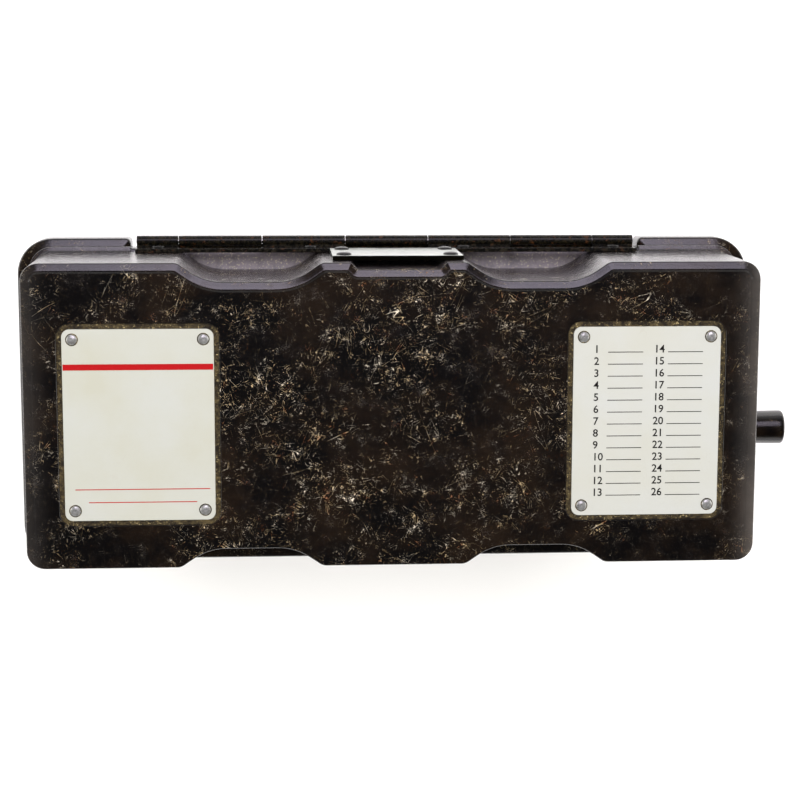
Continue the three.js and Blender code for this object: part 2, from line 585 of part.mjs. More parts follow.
for (const s of signs) {
  const ends = [s * (eyeHalf + GAP), s * (eyeHalf + 7)].sort((a, b) => a - b);
  doorHinge = join(doorHinge, block(...ends, -DOOR.pivot + GAP, DOOR.pivot, SEAT - DOOR.pivot,
    DOOR.pivot - 4 * SEAT));
}
node(phone, 'door_hinge', doorHinge, steel, [BATTERY.x, pivotY, pivotZ]);

// Controls on the panel
const switchTop = underPanel;
const stemFoot = underPanel - SWITCH_BLOCK.drop + 3;
let switchBlock = block(
  SELECTOR.x - SELECTOR.radius, TEST_BUTTON.x + TEST_BUTTON.radius,
  CONTROL_Y - SWITCH_BLOCK.depth / 2, CONTROL_Y + SWITCH_BLOCK.depth / 2,
  underPanel - SWITCH_BLOCK.drop - TEST_BUTTON.travel, switchTop,
);
const stemBore = underPanel - SWITCH_BLOCK.drop;
switchBlock = cut(switchBlock,
  bar('z', SELECTOR.shaft + GAP, stemBore, 199, [SELECTOR.x, CONTROL_Y, 0], 12),
  bar('z', TEST_BUTTON.stem + GAP, stemBore - 1, 199, [TEST_BUTTON.x, CONTROL_Y, 0], 12));
node(phone, 'switch_block', switchBlock, bakelite);
node(phone, 'selector_knob', join(
  bar('z', SELECTOR.shaft, stemFoot, panelTop + 2, [0, 0, 0], 20),
  bar('z', SELECTOR.radius, panelTop + SEAT, panelTop + 4, [0, 0, 0], 20),
  block(-SELECTOR.radius, SELECTOR.radius, -3, 3, panelTop + 3, panelTop + SELECTOR.height),
), bakelite, [SELECTOR.x, CONTROL_Y, 0]);
const buttonFoot = panelTop + TEST_BUTTON.travel + GAP;
node(phone, 'test_button', join(
  bar('z', TEST_BUTTON.stem, stemFoot, buttonFoot + 1, [0, 0, 0], 20),
  bar('z', TEST_BUTTON.radius, buttonFoot, buttonFoot + TEST_BUTTON.height, [0, 0, 0], 20),
), redLacquer, [TEST_BUTTON.x, CONTROL_Y, 0]);

// Call indicator: a flap that drops behind a window
const indicatorPlace = [INDICATOR.x, CONTROL_Y, 0];
const windowSeat = panelTop + SEAT + 1.2;
node(phone, 'indicator_bezel', cut(
  pipe('z', INDICATOR.radius, INDICATOR.window - 1, panelTop + SEAT, panelTop + INDICATOR.rise),
  bar('z', INDICATOR.window + GAP, panelTop - 1, windowSeat + 1.2),
), brass, indicatorPlace);
node(phone, 'indicator_glass', bar('z', INDICATOR.window, windowSeat, windowSeat + 1), glass, indicatorPlace);
const flapHalf = INDICATOR.box / 2 - 3;
node(phone, 'indicator_housing', cut(
  block(-INDICATOR.box / 2, INDICATOR.box / 2, -INDICATOR.box / 2 + 1, INDICATOR.box / 2 - 1,
    underPanel - INDICATOR.depth, underPanel),
  block(-flapHalf - 1, flapHalf + 1, -flapHalf, flapHalf, underPanel - INDICATOR.depth + 2, underPanel + 1),
  bar('x', 1 + GAP, -flapHalf - 1.8, flapHalf + 1.8, [0, flapHalf - 2, underPanel - 4], 8),
), bakelite, indicatorPlace);
node(phone, 'indicator_flap', join(
  bar('x', 1, -flapHalf - 1.5, flapHalf + 1.5, [0, 0, 0], 8),
  block(-flapHalf + 1, flapHalf - 1, -2 * flapHalf + 4, 0, -0.6, 0.6),
), enamel, [INDICATOR.x, CONTROL_Y + flapHalf - 2, underPanel - 4]);

// Line terminals: a sprung cap on an insulated base
const terminalFoot = underPanel - TERMINAL_BLOCK.drop;
const firstTerminal = TERMINAL.xs[0] - TERMINAL.base;
const lastTerminal = TERMINAL.xs[TERMINAL.xs.length - 1] + TERMINAL.base;
let terminalBlock = block(firstTerminal, lastTerminal, CONTROL_Y - TERMINAL_BLOCK.depth / 2,
  CONTROL_Y + TERMINAL_BLOCK.depth / 2, terminalFoot, underPanel);
const terminalBases = [];
for (const x of TERMINAL.xs) {
  terminalBlock = cut(terminalBlock, bar('z', TERMINAL.stem + GAP, 0, 199, [x, CONTROL_Y, 0], 12));
  terminalBases.push(pipe('z', TERMINAL.base, TERMINAL.stem + GAP, panelTop + SEAT, panelTop + TERMINAL.rise,
    [x, CONTROL_Y, 0], 12));
}
node(phone, 'terminal_block', terminalBlock, bakelite);
const baseStrip = block(firstTerminal, lastTerminal, CONTROL_Y - TERMINAL.strip, CONTROL_Y + TERMINAL.strip,
  panelTop + SEAT, panelTop + TERMINAL.rise / 2);
const stripBores = TERMINAL.xs.map((x) => bar('z', TERMINAL.stem + GAP, 0, 199, [x, CONTROL_Y, 0], 12));
node(phone, 'terminal_base', cut(join(baseStrip, ...terminalBases), ...stripBores), bakelite);
const capFoot = panelTop + TERMINAL.rise + TERMINAL.travel + GAP;
const terminal = join(
  bar('z', TERMINAL.stem, terminalFoot + TERMINAL.travel / 2, capFoot + 1, [0, 0, 0], 16),
  bar('z', TERMINAL.cap, capFoot, capFoot + TERMINAL.height, [0, 0, 0], 20),
);
['line_terminal_1', 'line_terminal_2', 'earth_terminal'].forEach((name, i) => {
  node(phone, name, terminal, brass, [TERMINAL.xs[i], CONTROL_Y, 0]);
});

const glandProfile = [
  [PANEL_GLAND.bore, underPanel - 3], [PANEL_GLAND.radius - 2, underPanel - 3],
  [PANEL_GLAND.radius - 2, panelTop + SEAT], [PANEL_GLAND.radius, panelTop + SEAT],
  [PANEL_GLAND.radius - 1.5, panelTop + PANEL_GLAND.rise], [PANEL_GLAND.bore, panelTop + PANEL_GLAND.rise],
];
const ring = (points, sides) => turned([...points, points[0]], sides);
node(phone, 'panel_gland', ring(glandProfile, 16), rubber, [PANEL_GLAND.x, PANEL_GLAND.y, 0]);

// Cradle rings and the hook switch under the earpiece
const cradleBore = CAP_RADIUS + 0.5;
const cradleRing = pipe('z', cradleBore + CRADLE.wall, cradleBore, panelTop + SEAT, panelTop + CRADLE.height,
  [0, 0, 0], 24);
node(phone, 'cradle_ring_ear', cradleRing, rubber, [-CAP_X, HANDSET_Y, 0]);
node(phone, 'cradle_ring_mouth', cradleRing, rubber, [CAP_X, HANDSET_Y, 0]);
const hookFoot = underPanel - HOOK.drop;
node(phone, 'hook_plunger', bar('z', HOOK.radius, hookFoot + HOOK.travel, panelTop), brass, [hookX, HANDSET_Y, 0]);
node(phone, 'hook_switch', cut(
  block(-2 * HOOK.radius, 2 * HOOK.radius, -2 * HOOK.radius, 2 * HOOK.radius, hookFoot, underPanel),
  bar('z', HOOK.radius + GAP, hookFoot + 3, 199),
), bakelite, [hookX, HANDSET_Y, 0]);

// Handset: its origin is on the panel, midway between the caps
const handset = new THREE.Group();
handset.position.set(0, HANDSET_Y, panelTop + GAP);
phone.add(handset);
const housingTop = CAP_HEIGHT + GAP + HOUSING_HEIGHT;

function handsetBody() {
  const shape = new THREE.Shape();
  const end = CAP_X + HOUSING_RADIUS - 8;
  shape.moveTo(-end, housingTop - 6);
  shape.lineTo(-end + 4, HANDLE.shoulder - 8);
  shape.quadraticCurveTo(-CAP_X, HANDLE.shoulder, -CAP_X / 2, HANDLE.top - 2);
  shape.quadraticCurveTo(0, HANDLE.top + 2, CAP_X / 2, HANDLE.top - 2);
  shape.quadraticCurveTo(CAP_X, HANDLE.shoulder, end - 4, HANDLE.shoulder - 8);
  shape.lineTo(end, housingTop - 6);
  shape.lineTo(CAP_X - HOUSING_RADIUS / 2, housingTop - 6);
  shape.quadraticCurveTo(CAP_X / 2, HANDLE.under - 1, 0, HANDLE.under);
  shape.quadraticCurveTo(-CAP_X / 2, HANDLE.under - 1, HOUSING_RADIUS / 2 - CAP_X, housingTop - 6);
  shape.closePath();
  const handle = toSolid(slab(shape, -HANDLE.width / 2, HANDLE.width / 2, 5).rotateX(Math.PI / 2));
  let body = handle;
  for (const s of signs) {
    const seat = [s * CAP_X, 0, 0];
    body = join(body, bar('z', HOUSING_RADIUS, CAP_HEIGHT + GAP, housingTop, seat, 24));
    body = cut(body, bar('z', HOUSING_RADIUS - CAP_WALL, 0, housingTop - CAP_WALL, seat, 24));
  }
  const keyRoom = HANDLE.under - TALK_KEY.proud + TALK_KEY.depth + TALK_KEY.travel + GAP;
  body = cut(body,
    block(-TALK_KEY.length / 2 - GAP, TALK_KEY.length / 2 + GAP,
      -TALK_KEY.width / 2 - GAP, TALK_KEY.width / 2 + GAP, 0, keyRoom),
    bar('x', 2.6, CAP_X + HOUSING_RADIUS - 9, CAP_X + HOUSING_RADIUS + 9, [0, 0, CAP_HEIGHT + 8], 8));
  return body;
}
node(handset, 'handset_body', handsetBody(), bakelite);

function screwCap(holes) {
  let cap = turned([
    [0, 0], [CAP_RADIUS - 3, 0], [CAP_RADIUS, 2.5], [CAP_RADIUS, CAP_HEIGHT], [CAP_RADIUS - CAP_WALL, CAP_HEIGHT],
    [CAP_RADIUS - CAP_WALL, CAP_WALL], [0, CAP_WALL],
  ], 24);
  cap = cut(cap, bar('z', 1.6, -1, CAP_HEIGHT, [0, 0, 0], 8));
  for (let i = 0; i < holes; i += 1) {
    const angle = (2 * Math.PI * i) / holes;
    cap = cut(cap, bar('z', 1.6, -1, CAP_HEIGHT, [8 * Math.cos(angle), 8 * Math.sin(angle), 0], 6));
  }
  return cap;
}
node(handset, 'ear_cap', screwCap(5), bakelite, [-CAP_X, 0, 0]);
node(handset, 'mouth_cap', screwCap(6), bakelite, [CAP_X, 0, 0]);
const capsule = bar('z', HOUSING_RADIUS - CAP_WALL - 1.5, CAP_WALL + GAP, housingTop - 2 * CAP_WALL, [0, 0, 0], 20);
node(handset, 'receiver_capsule', capsule, zinc, [-CAP_X, 0, 0]);
node(handset, 'microphone_capsule', capsule, zinc, [CAP_X, 0, 0]);
node(handset, 'talk_key', block(-TALK_KEY.length / 2, TALK_KEY.length / 2, -TALK_KEY.width / 2,
  TALK_KEY.width / 2, 0, TALK_KEY.depth), bakelite, [0, 0, HANDLE.under - TALK_KEY.proud]);
node(handset, 'handset_gland', ring([[1.6, -3], [2.3, -3], [2.3, 2], [4, 2], [3, 7], [1.6, 7]], 12)
  , rubber, [0, 0, 0]).rotation.y = Math.PI / 2;
handset.children.at(-1).position.set(CAP_X + HOUSING_RADIUS - 1.5, 0, CAP_HEIGHT + 8);

// Crank: its origin is on the shaft's axis, at the arm
const crank = new THREE.Group();
crank.position.set(armX, CRANK_Y, CRANK_Z);
phone.add(crank);
const gearX = GENERATOR.outer - GENERATOR.plate - 3 - GEAR_WIDTH;
const shaftEnd = gearX - 4 - armX;
const armFree = SHAFT_RADIUS + GAP / 2;
node(crank, 'crank_shaft', bar('x', SHAFT_RADIUS, shaftEnd, ARM_THICKNESS + 3), steel);
const armShape = new THREE.Shape();
armShape.absarc(0, 0, ARM_END.shaft, rad(0), rad(180), false);
armShape.absarc(0, -CRANK_ARM, ARM_END.grip, rad(180), rad(360), false);
armShape.closePath();
// The shape's X and Y become the case's Z and Y, and its height runs along X
const armGeometry = slab(armShape, 0, ARM_THICKNESS, 5).rotateY(Math.PI / 2);
node(crank, 'crank_arm', cut(toSolid(armGeometry),
  bar('x', armFree, -1, ARM_THICKNESS + 1),
  bar('x', GRIP.pin + GAP / 2, -1, ARM_THICKNESS + 1, [0, -CRANK_ARM, 0], 16)), darkSteel);
node(crank, 'crank_nut', cut(bar('x', 6.5, ARM_THICKNESS + SEAT, ARM_THICKNESS + 3, [0, 0, 0], 6),
  bar('x', armFree, 0, 2 * ARM_THICKNESS)), steel);
const gripStart = ARM_THICKNESS + GAP;
node(crank, 'grip_pin', bar('x', GRIP.pin, GAP, gripStart + GRIP.length - GRIP.floor - 1, [0, 0, 0], 16),
  steel, [0, -CRANK_ARM, 0]);
const gripProfile = [
  [GRIP.pin + GAP, 0], [GRIP.neck, 0], [GRIP.neck + 0.6, 2], [GRIP.radius, GRIP.length * 0.45],
  [GRIP.radius, GRIP.length - 2.2], [GRIP.radius - 0.7, GRIP.length - 0.9], [GRIP.radius - 2.2, GRIP.length - 0.3],
  [0, GRIP.length], [0, GRIP.length - GRIP.floor], [GRIP.pin + GAP, GRIP.length - GRIP.floor],
];
const gripMesh = node(crank, 'crank_grip', ring(gripProfile, 24), bakelite, [gripStart, -CRANK_ARM, 0]);
gripMesh.rotation.y = Math.PI / 2;
const bushWall = tubWallX(CRANK_Z);
node(phone, 'crank_bush', cut(
  join(
    bar('x', BUSH.radius, bushWall - 2 * TUB_WALL, bushWall + 1),
    bar('x', BUSH.flange, bushWall + GAP + BUSH.flange * tubSlope, bushWall + BUSH.flangeThickness),
  ),
  bar('x', SHAFT_RADIUS + GAP / 2, 0, 199),
), brass, [0, CRANK_Y, CRANK_Z]);

// Gears: straight teeth, narrower than their gaps so that they run free
function gear(teeth, bore, low, high, turn) {
  const pitch = (MODULE * teeth) / 2;
  const shape = new THREE.Shape();
  const halfRoot = (0.5 * Math.PI) / teeth;
  const halfTip = (0.22 * Math.PI) / teeth;
  for (let i = 0; i < teeth; i += 1) {
    const middle = turn + (2 * Math.PI * i) / teeth;
    const corners = [
      [pitch - 1.05 * MODULE, -halfRoot], [pitch + 0.7 * MODULE, -halfTip],
      [pitch + 0.7 * MODULE, halfTip], [pitch - 1.05 * MODULE, halfRoot],
    ];
    corners.forEach(([r, a], k) => {
      const point = [r * Math.cos(middle + a), r * Math.sin(middle + a)];
      if (i + k === 0) shape.moveTo(...point);
      else shape.lineTo(...point);
    });
  }
  shape.closePath();
  // The shape's Y stays Y, and its height runs along X
  const wheel = toSolid(slab(shape, low, high).rotateY(Math.PI / 2));
  return cut(wheel, bar('x', bore, low - 1, high + 1, [0, 0, 0], 16));
}
const armatureY = CRANK_Y - gearRadius - pinionRadius;
node(phone, 'drive_gear', gear(GEAR_TEETH, SHAFT_RADIUS + SEAT, 0, GEAR_WIDTH, rad(-90)), brass,
  [gearX, CRANK_Y, CRANK_Z]);
const magnetX = (GENERATOR.inner + GENERATOR.outer) / 2 - 6;
const armatureStart = magnetX - ARMATURE.length / 2;
const pinionTurn = rad(90) + Math.PI / PINION_TEETH;
node(phone, 'armature', join(
  bar('x', ARMATURE.shaft, GENERATOR.inner - 2, GENERATOR.outer + 2, [0, 0, 0], 16),
  bar('x', ARMATURE.radius, armatureStart, armatureStart + ARMATURE.length, [0, 0, 0], 20),
  gear(PINION_TEETH, 0.5, gearX - 1, gearX + GEAR_WIDTH + 1, pinionTurn),
), steel, [0, armatureY, CRANK_Z]);

// Generator frame: two bearing plates hung from a flange under the panel
const frameBack = CRANK_Y + gearRadius + 2;
const frameFront = armatureY - MAGNET.half - 1;
const frameFoot = CRANK_Z - GENERATOR.low;
const plateTop = CRANK_Z + GENERATOR.top;
const flangeFront = CONTROL_Y + TERMINAL_BLOCK.depth / 2 + 3;
function bearingPlate(x) {
  return join(
    block(x, x + GENERATOR.plate, frameFront, frameBack, frameFoot, plateTop),
    block(x, x + GENERATOR.plate, flangeFront, frameBack, plateTop - 1, underPanel),
  );
}
node(phone, 'generator_frame', cut(
  join(
    bearingPlate(GENERATOR.inner),
    bearingPlate(GENERATOR.outer - GENERATOR.plate),
    block(GENERATOR.inner, GENERATOR.outer, flangeFront, frameBack, underPanel - 3, underPanel),
  ),
  bar('x', ARMATURE.shaft + GAP, 0, 199, [0, armatureY, CRANK_Z], 16),
  bar('x', SHAFT_RADIUS + GAP, GENERATOR.outer - 2 * GENERATOR.plate, 199, [0, CRANK_Y, CRANK_Z], 16),
), zinc);

// Magnets: horseshoes open at the top, round the armature
const magnetWidth = ARMATURE.length / MAGNET.count;
const bore = ARMATURE.radius + 0.6;
const magnetBack = Math.min(MAGNET.half, CRANK_Y - armatureY - SHAFT_RADIUS - 1);
const magnetThickness = magnetWidth - MAGNET.spacing;
const magnet = cut(
  block(0, magnetThickness, -MAGNET.half, magnetBack, -MAGNET.half, MAGNET.half),
  bar('x', bore, -1, magnetWidth + 1, [0, 0, 0], 24),
  block(-1, magnetWidth + 1, 4 - bore, bore - 4, 0, MAGNET.half + 1),
);
const magnetPlaces = Array.from({ length: MAGNET.count }, (_, i) => [i * magnetWidth, 0, 0]);
const magnetStrap = block(0, ARMATURE.length - MAGNET.spacing, -MAGNET.half / 2, MAGNET.half / 2,
  -MAGNET.half - MAGNET.strap, 1 - MAGNET.half);
node(phone, 'magnets', join(repeated(magnet, magnetPlaces), magnetStrap), darkSteel,
  [armatureStart + MAGNET.spacing / 2, armatureY, CRANK_Z]);

// Ringer: a plate under the panel with two coils, two gongs and a rocking clapper
const ringerTop = underPanel - 3;
const coilX = CLAPPER.half - 3;
function ringerFrame() {
  const reach = RINGER.spread + 5;
  const postFoot = underPanel - RINGER_DROP.gong + SEAT;
  let frame = block(-reach, reach, -12, 12, ringerTop, underPanel);
  for (const s of signs) {
    frame = join(frame,
      bar('z', 3, postFoot, ringerTop + 1, [s * RINGER.spread, 0, 0], 8),
      bar('z', WINDING.core, underPanel - RINGER_DROP.coil, ringerTop + 1, [s * coilX, 0, 0], 16),
      block(-4, 4, s * 7 - 1, s * 7 + 1, underPanel - RINGER_DROP.pivot - 4, ringerTop + 1));
  }
  return cut(frame, bar('y', CLAPPER.pin + GAP, -9, 9, [0, 0, underPanel - RINGER_DROP.pivot], 8));
}
node(phone, 'ringer_frame', ringerFrame(), zinc, [RINGER.x, RINGER.y, 0]);
const windings = signs.map((s) => pipe('z', WINDING.radius, WINDING.core + GAP, underPanel - RINGER_DROP.coil + 1.5, ringerTop - 0.5,
  [s * coilX, 0, 0], 16));
const tieEnd = coilX + 1 - WINDING.radius;
const coilTie = block(-tieEnd, tieEnd, -WINDING.tie, WINDING.tie, ringerTop - 7, ringerTop - 3);
node(phone, 'ringer_coils', join(...windings, coilTie), copperWinding, [RINGER.x, RINGER.y, 0]);
const gongProfile = [
  [0, 0], [RINGER.gong * 0.6, -1.5], [RINGER.gong * 0.92, -5], [RINGER.gong, -RINGER.gongHeight],
  [RINGER.gong - RINGER.gongWall, -RINGER.gongHeight], [RINGER.gong * 0.92 - RINGER.gongWall, -5.8],
  [RINGER.gong * 0.6, -1.5 - RINGER.gongWall], [0, -RINGER.gongWall],
].reverse();
for (const [name, s] of [['gong_left', -1], ['gong_right', 1]]) {
  node(phone, name, turned(gongProfile, 18), brass,
    [RINGER.x + s * RINGER.spread, RINGER.y, underPanel - RINGER_DROP.gong]);
}
node(phone, 'clapper', join(
  block(-CLAPPER.half, CLAPPER.half, -CLAPPER.width / 2, CLAPPER.width / 2, -CLAPPER.thickness, CLAPPER.thickness),
  bar('y', CLAPPER.pin, -8, 8, [0, 0, 0], 8),
  bar('z', CLAPPER.rod, RINGER_DROP.pivot - RINGER_DROP.ball, 0, [0, 0, 0], 8),
  toSolid(new THREE.SphereGeometry(CLAPPER.ball, 12, 8).translate(0, 0, RINGER_DROP.pivot - RINGER_DROP.ball)),
), steel, [RINGER.x, RINGER.y, underPanel - RINGER_DROP.pivot]);

const halfCoil = COIL.width / 2;
const coilDepth = COIL.depth / 2;
node(phone, 'induction_coil', join(
  block(-halfCoil - COIL.cheek, halfCoil + COIL.cheek, -coilDepth - COIL.cheek, coilDepth + COIL.cheek,
    -COIL.flange, 0),
  block(-halfCoil, halfCoil, -coilDepth, coilDepth, -COIL.flange - COIL.height, 1 - COIL.flange),
), copperWinding, [COIL.x, COIL.y, underPanel]);
node(phone, 'capacitor', block(-CAPACITOR.width / 2, CAPACITOR.width / 2, -CAPACITOR.depth / 2, CAPACITOR.depth / 2,
  GAP, CAPACITOR.height), zinc, [CAPACITOR.x, CAPACITOR.y, TUB_WALL]);

export default phone;
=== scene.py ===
"""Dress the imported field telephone: moulded case, plates, hinge, crank, handset and controls under the lid.

Run as a script, it loads the CAD frame, builds each piece with its own operator and places lights and camera.
"""

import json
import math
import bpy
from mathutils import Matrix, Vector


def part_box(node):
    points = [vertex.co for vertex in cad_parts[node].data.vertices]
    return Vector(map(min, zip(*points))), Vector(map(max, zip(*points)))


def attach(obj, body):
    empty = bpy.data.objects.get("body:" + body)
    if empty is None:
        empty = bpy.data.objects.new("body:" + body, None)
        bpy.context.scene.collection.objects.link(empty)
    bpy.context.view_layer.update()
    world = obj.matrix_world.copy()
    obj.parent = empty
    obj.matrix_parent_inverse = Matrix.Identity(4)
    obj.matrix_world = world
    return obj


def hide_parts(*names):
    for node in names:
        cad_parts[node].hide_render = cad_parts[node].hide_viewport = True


bl_info = {
    "name": "Field Telephone",
    "version": (1, 0, 0),
    "blender": (4, 5, 0),
    "location": "View3D > Sidebar > Telephone",
    "description": "Builds the visible pieces of a field telephone round its CAD frame",
    "category": "Add Mesh",
}

import bmesh
import bpy
from mathutils import Matrix, Vector

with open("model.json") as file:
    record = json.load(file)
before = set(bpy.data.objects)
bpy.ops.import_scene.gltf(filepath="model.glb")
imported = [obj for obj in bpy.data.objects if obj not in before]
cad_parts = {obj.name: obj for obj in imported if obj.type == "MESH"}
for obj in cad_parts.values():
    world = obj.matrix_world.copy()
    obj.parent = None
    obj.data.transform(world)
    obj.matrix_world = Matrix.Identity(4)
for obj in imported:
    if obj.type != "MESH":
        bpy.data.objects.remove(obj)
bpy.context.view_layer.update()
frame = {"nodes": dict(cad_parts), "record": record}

MM = 0.001
SMOOTH_ANGLE = math.radians(32)
FOUR_CORNERS = ((-1, -1), (1, -1), (1, 1), (-1, 1))


# Sizes, slots and bodies read from the frame. Sizes are in millimetres.

NODE_SLOT = {row["node"]: row["material_slot"] for row in frame["record"]["subparts"]}
NODE_BODY = {node: body for body, nodes in frame["record"]["behaviour"]["bodies"].items() for node in nodes}


def node_box(node):
    """Lowest and highest corner of a CAD node."""
    low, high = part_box(node)
    return low / MM, high / MM


def upright(node):
    """Centre, radius, foot and top of a round CAD node that stands along Z."""
    low, high = node_box(node)
    return Vector(((low.x + high.x) / 2, (low.y + high.y) / 2, 0)), (high.x - low.x) / 2, low.z, high.z


LID_LOW, LID_HIGH = node_box("lid_shell")
CASE_LOW, CASE_HIGH = node_box("case_body")
SLOT_LOW, SLOT_HIGH = node_box("slot_plate")
SLOT_X = (SLOT_LOW.x + SLOT_HIGH.x) / 2
SEAM_Z = CASE_HIGH.z
FACE_TOP = LID_HIGH.z
PANEL_TOP = node_box("inner_panel")[1].z

# Lid: size, the slope of its draft, and its finger scoops. Mouth and floor are half widths.
LID_WIDTH, LID_DEPTH = 281.0, 117.0
LID_SLOPE = math.tan(math.radians(0.6))
SCOOP_CENTRE, SCOOP_FLOOR, SCOOP_MOUTH, SCOOP_DEPTH, SCOOP_BEND = 54.8, 16.56, 27.23, 7.2, 22
SLOT_HALF, SLOT_DEEP = 17, 2.6
# Height from which old dirt is caked on the slot plate
SLOT_DIRT_Z = 198.05
HINGE_HALF, LATCH_HALF, LATCH_DEEP = 103.0, 31.0, 4.3
# Everything further out than this lies on one of the two long sides
LONG_SIDE = 40
EDGE_ROUND, EDGE_ANGLE = 0.6, math.radians(75)
# The raised edge is gone at the first y and whole at the second
CREST_LOST, CREST_FULL = 33.0, 47.0
FLANGE_REACH, FLANGE_HEIGHT = 2.1, 2.4

# Writing plates and the framed recesses they lie in
PLATE_X, PLATE_Y, PLATE_WIDTH, PLATE_DEPTH, PLATE_CORNER = 97.0, -3.0, 57.0, 73.4, 3.0
PLATE_MARGIN, PLATE_SEAT = 2.0, 203.4
PLATE_LOW, PLATE_TOP = 203.5, 204.3
PLATE_RIVET_INSET = 3.9
# Two red rules near the foot of the left plate: down from its top edge, and width
RED_RULES = ((61.3, 51), (66.3, 41))
# Thickness of the print, its middle above the plate, and the two columns of numbers
INK = 0.04
INK_LEVEL = INK / 2 - 0.01
ROWS, COLUMN_PITCH = 13, 23.2
# Height of a figure as a share of its font size
FIGURE_SHARE = 0.72

# Case: rim and tub, the rim's extra reach at the latch, its sill under the hinge and the tub's draft
RIM_WIDTH, RIM_DEPTH, TUB_WIDTH, TUB_DEPTH = 297.0, 128.5, 271.0, 107.0
RIM_FOOT = 136.0
RIM_FRONT = -CASE_LOW.y - RIM_DEPTH / 2
SILL_FALL = 2.1
TUB_SLOPE = math.tan(math.radians(2))

# Places of the screws and of the slot plate's rivets
LEAF_SCREWS_X, LEAF_SCREW_UP = (-91.6, -30.8, 30.8, 91.6), 5.5
GUIDE_SCREWS_X, GUIDE_SCREW_DOWN = (-27.7, 27.7), 8
PANEL_SCREW_X, PANEL_SCREW_Y, PANEL_SCREW_Z = 123, 41, 131
SLOT_RIVET_X, SLOT_RIVETS_Z = 20.5, (192, 167)
# How far a hinge leaf's face stands past its lowest y
LEAF_FACE = 1.5

# Where the handset's bar begins to round off over each head, and the length of that end
BAR_END, BAR_ROUND = 87.0, 11
# Speaking holes of the caps
HOLE_RADIUS, HOLE_DEPTH, HOLE_SIDES = 1.1, 1.3, 16


# Mesh helpers. Pieces are shaped in millimetres and scaled to metres when they are finished.


def rounded_outline(corners, inset=0.0):
    """Points of a closed outline drawn in by inset. A corner is (x, y, radius, segments), round +Z."""
    points = []
    count = len(corners)
    for i in range(count):
        x, y, radius, segments = corners[i]
        here = Vector((x, y))
        before = here - Vector(corners[i - 1][:2])
        after = Vector(corners[(i + 1) % count][:2]) - here
        before.normalize()
        after.normalize()
        left_before = Vector((-before.y, before.x))
        left_after = Vector((-after.y, after.x))
        moved = here + (left_before + left_after) * (inset / (1 + left_before.dot(left_after)))
        turn = before.cross(after)
        side = 1 if turn > 0 else -1
        bend = max(radius - side * inset, 0.05)
        angle = math.acos(max(-1.0, min(1.0, before.dot(after))))
        start = moved - before * bend * math.tan(angle / 2)
        centre = start + left_before * bend * side
        first = math.atan2(start.y - centre.y, start.x - centre.x)
        for k in range(segments + 1):
            a = first + side * angle * k / segments
            points.append(Vector((centre.x + bend * math.cos(a), centre.y + bend * math.sin(a))))
    return points


def outline_at(corners, z, inset=0.0):
    """A rounded outline as points at one height."""
    return [(p.x, p.y, z) for p in rounded_outline(corners, inset)]


def rectangle(width, depth, radius, segments=6, centre=(0, 0)):
    """Corners of a rectangle, for the outlines above."""
    x, y = width / 2, depth / 2
    cx, cy = centre
    return [(cx + sx * x, cy + sy * y, radius, segments) for sx, sy in FOUR_CORNERS]


def start_ring(bm, points):
    """A first closed loop of edges."""
    ring = [bm.verts.new(p) for p in points]
    for i, vert in enumerate(ring):
        bm.edges.new((ring[i - 1], vert))
    return ring


def ring_edges(bm, ring):
    """The edges between the vertices of a closed loop."""
    return [bm.edges.get((ring[i - 1], vert)) for i, vert in enumerate(ring)]


def grow_ring(bm, ring, points):
    """Extrude a closed loop and move each new vertex to its point, in the same order."""
    made = bmesh.ops.extrude_edge_only(bm, edges=ring_edges(bm, ring))["geom"]
    fresh = {g for g in made if isinstance(g, bmesh.types.BMVert)}
    grown = []
    for old, point in zip(ring, points):
        vert = next(e.other_vert(old) for e in old.link_edges if e.other_vert(old) in fresh)
        vert.co = point
        grown.append(vert)
    return grown


def fill_rings(bm, *rings):
    """A flat cap between one outer ring and any rings inside it."""
    edges = [edge for ring in rings for edge in ring_edges(bm, ring)]
    bmesh.ops.triangle_fill(bm, use_beauty=True, use_dissolve=False, edges=edges)


def loft(bm, sections, closed=True):
    """A skin over the sections, capped at the first and, if closed, at the last ring, which it returns."""
    first, *others = sections
    ring = start_ring(bm, first)
    fill_rings(bm, ring)
    for points in others:
        ring = grow_ring(bm, ring, points)
    if closed:
        fill_rings(bm, ring)
    return ring


def fluted(bm, profile, flutes, depth, centre, steps=8, closed=True):
    """A round skin with finger grooves. Rows of the profile are (radius, height, share of the groove)."""
    sections = []
    for radius, height, share in profile:
        points = []
        for k in range(flutes * steps):
            a = math.tau * k / (flutes * steps)
            r = radius - depth * share * (0.5 - 0.5 * math.cos(flutes * a)) ** 2
            points.append((centre.x + r * math.cos(a), centre.y + r * math.sin(a), height))
        sections.append(points)
    return loft(bm, sections, closed)


AXIS_TURN = {"z": Matrix.Identity(4), "x": Matrix.Rotation(math.radians(90), 4, "Y"),
             "y": Matrix.Rotation(math.radians(-90), 4, "X"), "-y": Matrix.Rotation(math.radians(90), 4, "X")}


def turned(profile, segments, axis="z", place=(0, 0, 0)):
    """A bmesh turned from (radius, height) points that start and end on the axis or form a loop."""
    bm = bmesh.new()
    verts = [bm.verts.new((r, 0, h)) for r, h in profile]
    edges = [bm.edges.new(pair) for pair in zip(verts, verts[1:])]
    if profile[0][0] > 0 and profile[-1][0] > 0:
        edges.append(bm.edges.new((verts[-1], verts[0])))
    bmesh.ops.spin(bm, geom=verts + edges, angle=math.tau, steps=segments, axis=(0, 0, 1), cent=(0, 0, 0),
                   use_merge=True)
    bmesh.ops.remove_doubles(bm, verts=bm.verts, dist=1e-4)
    bmesh.ops.transform(bm, matrix=Matrix.Translation(place) @ AXIS_TURN[axis], verts=bm.verts)
    return bm


